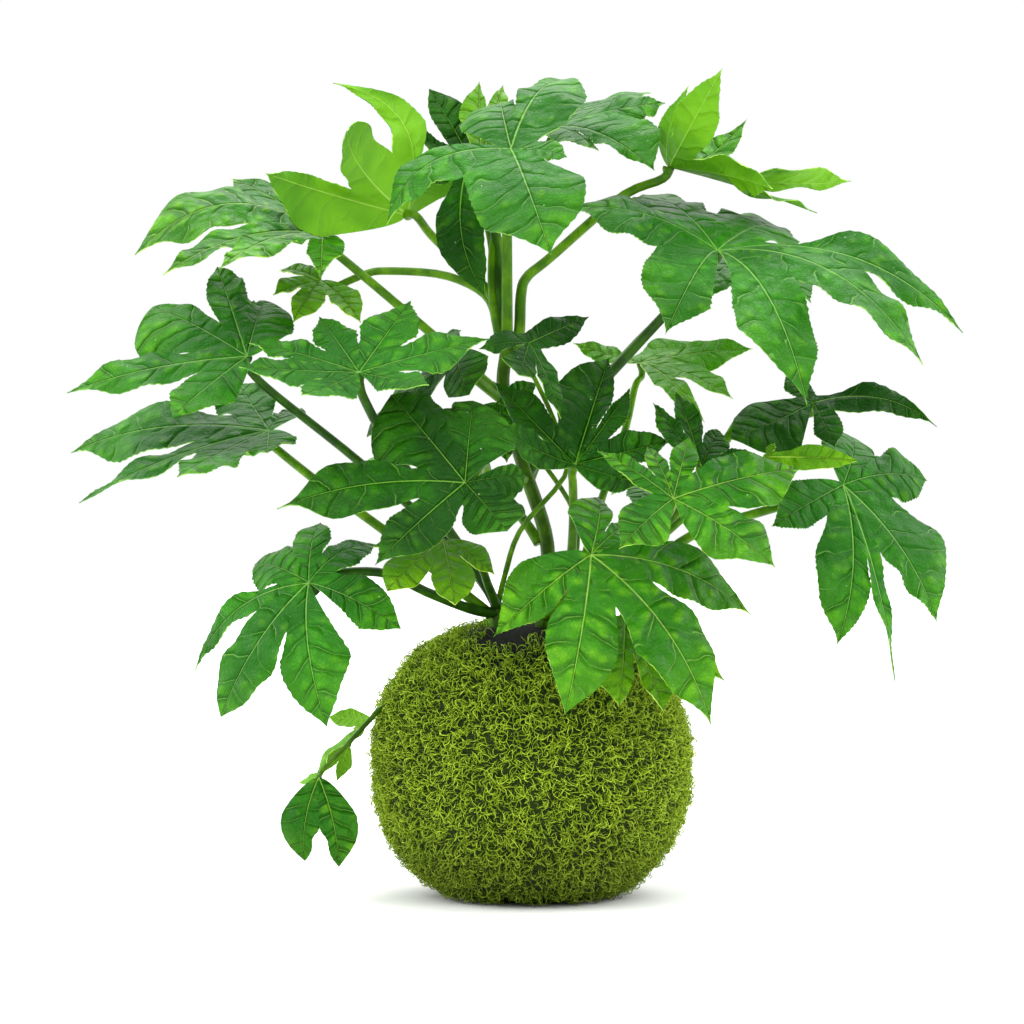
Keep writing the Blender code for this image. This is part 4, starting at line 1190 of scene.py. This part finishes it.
@dataclass(frozen=True)
class MossFinish:
    """Living sheet moss: fine matt strands, fresh ones yellow-green and old ones dark, darkened towards the
    base by painted shade, over a bed whose gaps are near-black painted shade.
    """

    tip: str = "#b4d03a"
    strand: str = "#8dab20"
    old: str = "#50700e"
    shaded: str = "#2c4006"
    # near-black painted shade for the gaps deep between the strands
    bed: str = "#141f05"
    soil: str = "#17110b"
    clump: float = 14.0 * MM
    shaded_to: float = 55.0 * MM
    bare_middle: tuple = (-9.0 * MM, -38.0 * MM, 130.0 * MM)
    bare_reach: float = 24.0 * MM

    def strands(self) -> bpy.types.Material:
        """The strands' finish, which differs from strand to strand."""
        made, tree, shader = fresh_material("moss_strands", 0.6, 1.4)
        shader.inputs["Specular IOR Level"].default_value = 0.25
        shader.inputs["Sheen Weight"].default_value = 0.6
        shader.inputs["Sheen Tint"].default_value = linear(self.tip)
        tint = add_node(tree, "Attribute", attribute_name="tint").outputs["Fac"]
        spot = add_node(tree, "TexCoord").outputs["Object"]
        clumps = add_node(tree, "TexNoise", {"Vector": spot, "Scale": 1.0 / self.clump, "Detail": 3.0})
        ground = blend(tree, ramp(tree, tint, 0.0, 0.5), linear(self.old), linear(self.strand))
        fresh = blend(tree, ramp(tree, tint, 0.5, 1.0), ground, linear(self.tip))
        colour = blend(tree, ramp(tree, clumps.outputs[0], 0.5, 0.7, 0.0, 0.5), fresh,
                       linear(self.old))
        height = add_node(tree, "SeparateXYZ", {0: spot}).outputs[2]
        # painted shade: the strands darken towards the base of the ball
        colour = blend(tree, ramp(tree, height, 0.0, self.shaded_to, 0.55, 0.0), colour, linear(self.shaded))
        tree.links.new(colour, shader.inputs["Base Color"])
        return made

    def ground(self) -> bpy.types.Material:
        """The bed between the strands: threads of older moss over a near-black ground that is painted shade
        in the gaps.
        """
        made, tree, shader = fresh_material("moss_bed", 0.95, 1.4)
        spot = add_node(tree, "TexCoord").outputs["Object"]
        stray = add_node(tree, "TexNoise", {"Vector": spot, "Scale": 1.0 / (5.0 * MM), "Detail": 2.0})
        moved = blend(tree, 0.35, spot, stray.outputs["Color"], "ADD")
        cells = add_node(tree, "TexVoronoi", {"Vector": moved, "Scale": 1.0 / (2.6 * MM)},
                         feature="DISTANCE_TO_EDGE")
        threads = ramp(tree, cells.outputs["Distance"], 0.03, 0.22, 1.0, 0.0)
        # painted shade: the gaps between the threads take the near-black bed colour
        moss = blend(tree, threads, linear(self.bed), linear(self.old))
        away = add_node(tree, "VectorMath", {0: spot, 1: self.bare_middle}, operation="DISTANCE")
        bare = ramp(tree, away.outputs["Value"], 0.8 * self.bare_reach, 1.2 * self.bare_reach, 1.0, 0.0)
        colour = blend(tree, bare, moss, linear(self.soil))
        tree.links.new(colour, shader.inputs["Base Color"])
        bump = add_node(tree, "Bump", {"Height": threads, "Strength": 1.0, "Distance": 0.8 * MM})
        tree.links.new(bump.outputs[0], shader.inputs["Normal"])
        return made


@dataclass
class MossBall:
    """The ball: a dark bed in the CAD ball's form, under a coat of curly strands."""

    radius: float = 78.0 * MM
    heart: float = 65.0 * MM
    rise: float = 72.0 * MM
    drop: float = 72.0 * MM
    top_fullness: float = 2.4
    base_fullness: float = 2.2
    bed_inset: float = 1.2 * MM
    bed_relief: float = 1.8 * MM
    clump: float = 12.0 * MM
    bare_top: float = 15.0 * MM
    bare_base: float = 3.0 * MM
    bare_place: tuple = (-9.0 * MM, -20.0 * MM)
    bare_slimness: float = 1.6
    bare_width: float = 31.0 * MM
    bare_height: float = 121.0 * MM
    tuft_kinds: int = 12
    tuft_strands: int = 13
    tuft_spread: float = 6.5 * MM
    tufts: int = 1900
    strand_steps: int = 5
    strand_step: float = 1.5 * MM
    strand_radius: float = 0.235 * MM
    crests: tuple = (1.0, 1.6, 2.2, 2.8, 3.4, 4.4)
    curls: tuple = (0.3, 1.2)
    loose_share: float = 0.18
    end_thinness: float = 0.5
    seat_seed: int = 7
    piece_tufts: int = 490

    def width_at(self, height: float) -> float:
        """The ball's radius at a height above the base."""
        above = height > self.heart
        reach, fullness = (self.rise, self.top_fullness) if above else (self.drop, self.base_fullness)
        part = min(abs(height - self.heart) / reach, 1.0)
        return self.radius * (1.0 - part ** fullness) ** (1.0 / fullness)

    def bed(self, material: bpy.types.Material) -> bpy.types.Object:
        """The dark ball under the strands."""
        bm = bmesh.new()
        bmesh.ops.create_uvsphere(bm, u_segments=96, v_segments=56, radius=1.0)
        for vert in bm.verts:
            lean = math.atan2(vert.co.z, math.hypot(vert.co.x, vert.co.y))
            height = self.heart + (self.rise if lean > 0 else self.drop) * math.sin(lean)
            around = math.atan2(vert.co.y, vert.co.x)
            if height > 0.0:
                width = self.width_at(height)
            else:
                width = self.width_at(0.0) * math.cos(lean) / math.cos(math.asin(self.heart / self.drop))
            place = Vector((width * math.cos(around), width * math.sin(around), max(height, 0.0)))
            away = (place - Vector((0.0, 0.0, self.heart))).normalized()
            bump = noise.noise(place / self.clump) * self.bed_relief - self.bed_inset
            if height > 0.0:
                place += away * bump
                place.z = max(place.z, 0.0)
            vert.co = place
        bmesh.ops.recalc_face_normals(bm, faces=bm.faces)
        return add_piece("moss_bed", bm, [material], "moss", "moss_ball")

    def strand(self, bm: bmesh.types.BMesh, chance: random.Random) -> None:
        """Adds one curl: a three-sided tube that rises from the bed, turns and dips again.

        Args:
            bm: the tuft's mesh.
            chance: the tuft's source of chance.
        """
        heading = chance.uniform(0.0, math.tau)
        spread = self.tuft_spread * math.sqrt(chance.random())
        around = chance.uniform(0.0, math.tau)
        place = Vector((spread * math.cos(around), spread * math.sin(around), -1.0 * MM))
        bend = chance.choice((-1.0, 1.0)) * chance.uniform(*self.curls)
        crest = chance.choice(self.crests) * MM
        steps = chance.randint(self.strand_steps - 2, self.strand_steps)
        tint = bm.verts.layers.float["tint"]
        tone = min(max((crest / MM - 1.0) / 3.0 * 0.6 + chance.uniform(-0.1, 0.5), 0.0), 1.0)
        lie = Matrix.Rotation(math.pi / 2, 3, "Y")
        last = Matrix.LocRotScale(place, Matrix.Rotation(heading, 3, "Z") @ lie,
                                  Vector.Fill(3, self.strand_radius))
        ring = bmesh.ops.create_circle(bm, cap_ends=False, segments=3, radius=1.0, matrix=last)["verts"]
        edges = list({edge for vert in ring for edge in vert.link_edges})
        for vert in ring:
            vert[tint] = 0.0
        low = place.z
        loose = chance.random() < self.loose_share
        for number in range(1, steps + 1):
            heading += bend * chance.uniform(0.4, 1.4)
            part = number / steps
            shape = smooth(part) if loose else math.sin(math.pi * part) ** 0.6
            place = place + Vector((math.cos(heading), math.sin(heading), 0.0)) * self.strand_step
            place.z = low + (crest - low) * shape
            drawn = bmesh.ops.extrude_edge_only(bm, edges=edges)["geom"]
            verts = [piece for piece in drawn if isinstance(piece, bmesh.types.BMVert)]
            edges = [piece for piece in drawn if isinstance(piece, bmesh.types.BMEdge)]
            thin = self.end_thinness if number == steps else 1.0
            aim = Matrix.LocRotScale(place, Matrix.Rotation(heading, 3, "Z") @ lie,
                                     Vector.Fill(3, self.strand_radius * thin))
            bmesh.ops.transform(bm, matrix=aim @ last.inverted(), verts=verts)
            for vert in verts:
                vert[tint] = tone
            last = aim

    def tuft(self, seed: int) -> bpy.types.Mesh:
        """One of the tufts that are repeated all over the ball."""
        chance = random.Random(seed)
        bm = bmesh.new()
        bm.verts.layers.float.new("tint")
        for _ in range(self.tuft_strands):
            self.strand(bm, chance)
        bmesh.ops.holes_fill(bm, edges=[edge for edge in bm.edges if edge.is_boundary], sides=3)
        bmesh.ops.recalc_face_normals(bm, faces=bm.faces)
        mesh = bpy.data.meshes.new("tuft")
        bm.to_mesh(mesh)
        bm.free()
        return mesh

    def seats(self) -> list:
        """Where the tufts sit, as matrices, evenly spread in a golden spiral."""
        chance = random.Random(self.seat_seed)
        seats = []
        low, high = self.bare_base - self.heart, self.rise * 0.985
        for number in range(self.tufts):
            part = (number + 0.5) / self.tufts
            height = self.heart + low + (high - low) * part + chance.uniform(-1.5, 1.5) * MM
            around = number * math.pi * (3.0 - math.sqrt(5.0)) + chance.uniform(-0.02, 0.02)
            height = min(max(height, self.bare_base), self.heart + high)
            width = self.width_at(height)
            beside = (width * math.cos(around) - self.bare_place[0]) * self.bare_slimness
            away = math.hypot(beside, min(width * math.sin(around), 0.0) - self.bare_place[1])
            if width < self.bare_top or (height > self.bare_height and away < self.bare_width):
                continue
            step = 0.5 * MM
            slope = (self.width_at(height + step) - self.width_at(height - step)) / (2.0 * step)
            out = Vector((math.cos(around), math.sin(around), -slope)).normalized()
            place = Vector((width * math.cos(around), width * math.sin(around), height))
            place += out * (noise.noise(place / self.clump) * self.bed_relief - 1.0 * MM)
            turn = Vector((0.0, 0.0, 1.0)).rotation_difference(out)
            spin = Matrix.Rotation(chance.uniform(0.0, math.tau), 3, "Z")
            size = chance.uniform(0.85, 1.15)
            seats.append(Matrix.LocRotScale(place, turn.to_matrix() @ spin, Vector.Fill(3, size)))
        return seats

    def coat(self, material: bpy.types.Material) -> list:
        """The strands, in pieces of even size."""
        kinds = [self.tuft(seed) for seed in range(self.tuft_kinds)]
        seats = self.seats()
        made = []
        for first in range(0, len(seats), self.piece_tufts):
            bm = bmesh.new()
            for number, seat in enumerate(seats[first:first + self.piece_tufts]):
                copy = kinds[(first + number * 7) % self.tuft_kinds].copy()
                copy.transform(seat)
                bm.from_mesh(copy)
                bpy.data.meshes.remove(copy)
            for vert in bm.verts:
                vert.co.z = max(vert.co.z, 0.2 * MM)
            made.append(add_piece(f"moss_strands_{len(made) + 1}", bm, [material], "moss"))
        for kind in kinds:
            bpy.data.meshes.remove(kind)
        return made


@dataclass
class SoilCrown:
    """Damp potting soil in the ball's crown, crumbly and nearly black."""

    radius: float = 24.0 * MM
    middle: float = 127.0 * MM
    height: float = 7.0 * MM
    crumb: float = 3.0 * MM
    relief: float = 1.6 * MM
    dark: str = "#17110b"
    light: str = "#3a2a1b"

    def finish(self) -> bpy.types.Material:
        """Damp soil: rough grains, nearly black with brown specks."""
        made, tree, shader = fresh_material("damp_soil", 0.9, 1.4)
        spot = add_node(tree, "TexCoord").outputs["Object"]
        grain = add_node(tree, "TexNoise", {"Vector": spot, "Scale": 1.0 / (1.6 * MM), "Detail": 4.0})
        colour = blend(tree, ramp(tree, grain.outputs[0], 0.45, 0.75), linear(self.dark),
                       linear(self.light))
        tree.links.new(colour, shader.inputs["Base Color"])
        bump = add_node(tree, "Bump", {"Height": grain.outputs[0], "Strength": 1.0, "Distance": 1.2 * MM})
        tree.links.new(bump.outputs[0], shader.inputs["Normal"])
        return made

    def build(self) -> bpy.types.Object:
        """Makes the crumbly mound."""
        bm = bmesh.new()
        bmesh.ops.create_icosphere(bm, subdivisions=5, radius=1.0)
        size = Matrix.Diagonal((self.radius, self.radius, self.height, 1.0))
        bmesh.ops.transform(bm, matrix=Matrix.Translation((0.0, 0.0, self.middle)) @ size, verts=bm.verts)
        for vert in bm.verts:
            away = Vector((vert.co.x, vert.co.y, (vert.co.z - self.middle) * 4.0)).normalized()
            vert.co += away * noise.noise(vert.co / self.crumb) * self.relief
        return add_piece("soil_crumbs", bm, [self.finish()], "soil", "soil_crown")


@dataclass
class Studio:
    """A white studio: pale floor, soft light from above, a key light, and the photograph's camera."""

    floor_size: float = 8.0
    floor_colour: str = "#f4f4f4"
    floor_shade: str = "#f1f1f1"
    sky_edge: float = 0.36
    sky_top: float = 2.5
    backdrop: float = 1.0
    white: tuple = (1.0, 1.0, 1.0, 1.0)
    lights: tuple = (
        ("key", (-0.9, -1.0, 1.5), (0.0, 0.0, 0.22), 0.9, 8.0),
        ("back", (0.2, 0.9, 1.8), (0.0, 0.0, 0.25), 1.0, 6.0),
        ("left rim", (-1.3, 0.35, 0.45), (0.0, 0.0, 0.12), 0.8, 6.0),
        ("right rim", (1.3, 0.35, 0.45), (0.0, 0.0, 0.12), 0.8, 6.0),
    )

    def floor(self) -> None:
        """The pale floor under the plant."""
        bm = bmesh.new()
        bmesh.ops.create_grid(bm, x_segments=1, y_segments=1, size=self.floor_size)
        mesh = bpy.data.meshes.new("floor")
        bm.to_mesh(mesh)
        bm.free()
        made, tree, shader = fresh_material("floor_paper", 0.9, 1.45)
        shader.inputs["Specular IOR Level"].default_value = 0.1
        spot = add_node(tree, "TexCoord").outputs["Object"]
        grain = add_node(tree, "TexNoise", {"Vector": spot, "Scale": 40.0})
        tone = blend(tree, ramp(tree, grain.outputs[0], 0.3, 0.7), linear(self.floor_shade),
                     linear(self.floor_colour))
        tree.links.new(tone, shader.inputs["Base Color"])
        mesh.materials.append(made)
        floor = bpy.data.objects.new("floor", mesh)
        bpy.context.scene.collection.objects.link(floor)

    def sky(self) -> None:
        """The studio's soft light, brighter from above, with a plain white backdrop."""
        world = bpy.data.worlds.new("studio")
        world.use_nodes = True
        tree = world.node_tree
        way = add_node(tree, "TexCoord").outputs["Generated"]
        height = add_node(tree, "SeparateXYZ", {0: way}).outputs[2]
        glow = ramp(tree, height, 0.0, 0.8, self.sky_edge, self.sky_top)
        soft = add_node(tree, "Background", {"Strength": glow, "Color": self.white})
        white = add_node(tree, "Background", {"Strength": self.backdrop, "Color": self.white})
        seen = add_node(tree, "LightPath").outputs["Is Camera Ray"]
        both = add_node(tree, "MixShader", {0: seen, 1: soft.outputs[0], 2: white.outputs[0]})
        tree.links.new(both.outputs[0], tree.nodes["World Output"].inputs["Surface"])
        bpy.context.scene.world = world

    def light(self, name: str, place: tuple, aim: tuple, size: float, power: float) -> None:
        """Adds a square soft light.

        Args:
            name: its name.
            place: where it stands, in metres.
            aim: the point it looks at, in metres.
            size: its side, in metres.
            power: its power in watts.
        """
        data = bpy.data.lights.new(name, "AREA")
        data.size = size
        data.energy = power
        lamp = bpy.data.objects.new(name, data)
        lamp.location = place
        lamp.rotation_euler = (Vector(aim) - Vector(place)).to_track_quat("-Z", "Y").to_euler()
        bpy.context.scene.collection.objects.link(lamp)

    def camera(self) -> None:
        """The camera at the photograph's view point, level, with its frame."""
        data = bpy.data.cameras.new("photograph")
        data.sensor_fit = "HORIZONTAL"
        data.angle = 2.0 * math.atan(IMAGE_HEIGHT / 2.0 / -VIEW_POINT.y)
        data.clip_end = 50.0
        camera = bpy.data.objects.new("photograph", data)
        camera.location = VIEW_POINT * MM
        camera.rotation_euler = (math.pi / 2.0, 0.0, 0.0)
        bpy.context.scene.collection.objects.link(camera)
        bpy.context.scene.camera = camera

    def build(self) -> None:
        """Sets up the whole studio."""
        self.camera()
        self.floor()
        self.sky()
        for light in self.lights:
            self.light(*light)
        bpy.context.scene.view_settings.view_transform = "Standard"


def main() -> None:
    """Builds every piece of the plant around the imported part."""
    logging.basicConfig(level=logging.INFO, format="%(name)s: %(message)s")
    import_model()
    Studio().build()
    finishes = {finish.tone: finish.make() for finish in LEAF_FINISHES}
    for name, leaf in LEAVES.items():
        piece = LeafBlade(name, leaf).build(finishes[leaf.tone])
        LOG.info("%s, %d faces", piece.name, len(piece.data.polygons))
    stalks = [finish.make() for finish in STALK_FINISHES]
    for name, (places, low, high) in SHOOTS.items():
        piece = Shoot(name, places, low, high).build(stalks)
        LOG.info("%s, %d faces", piece.name, len(piece.data.polygons))
    moss = MossFinish()
    ball = MossBall()
    for piece in (ball.bed(moss.ground()), *ball.coat(moss.strands()), SoilCrown().build()):
        LOG.info("%s, %d faces", piece.name, len(piece.data.polygons))


if __name__ == "__main__":
    main()
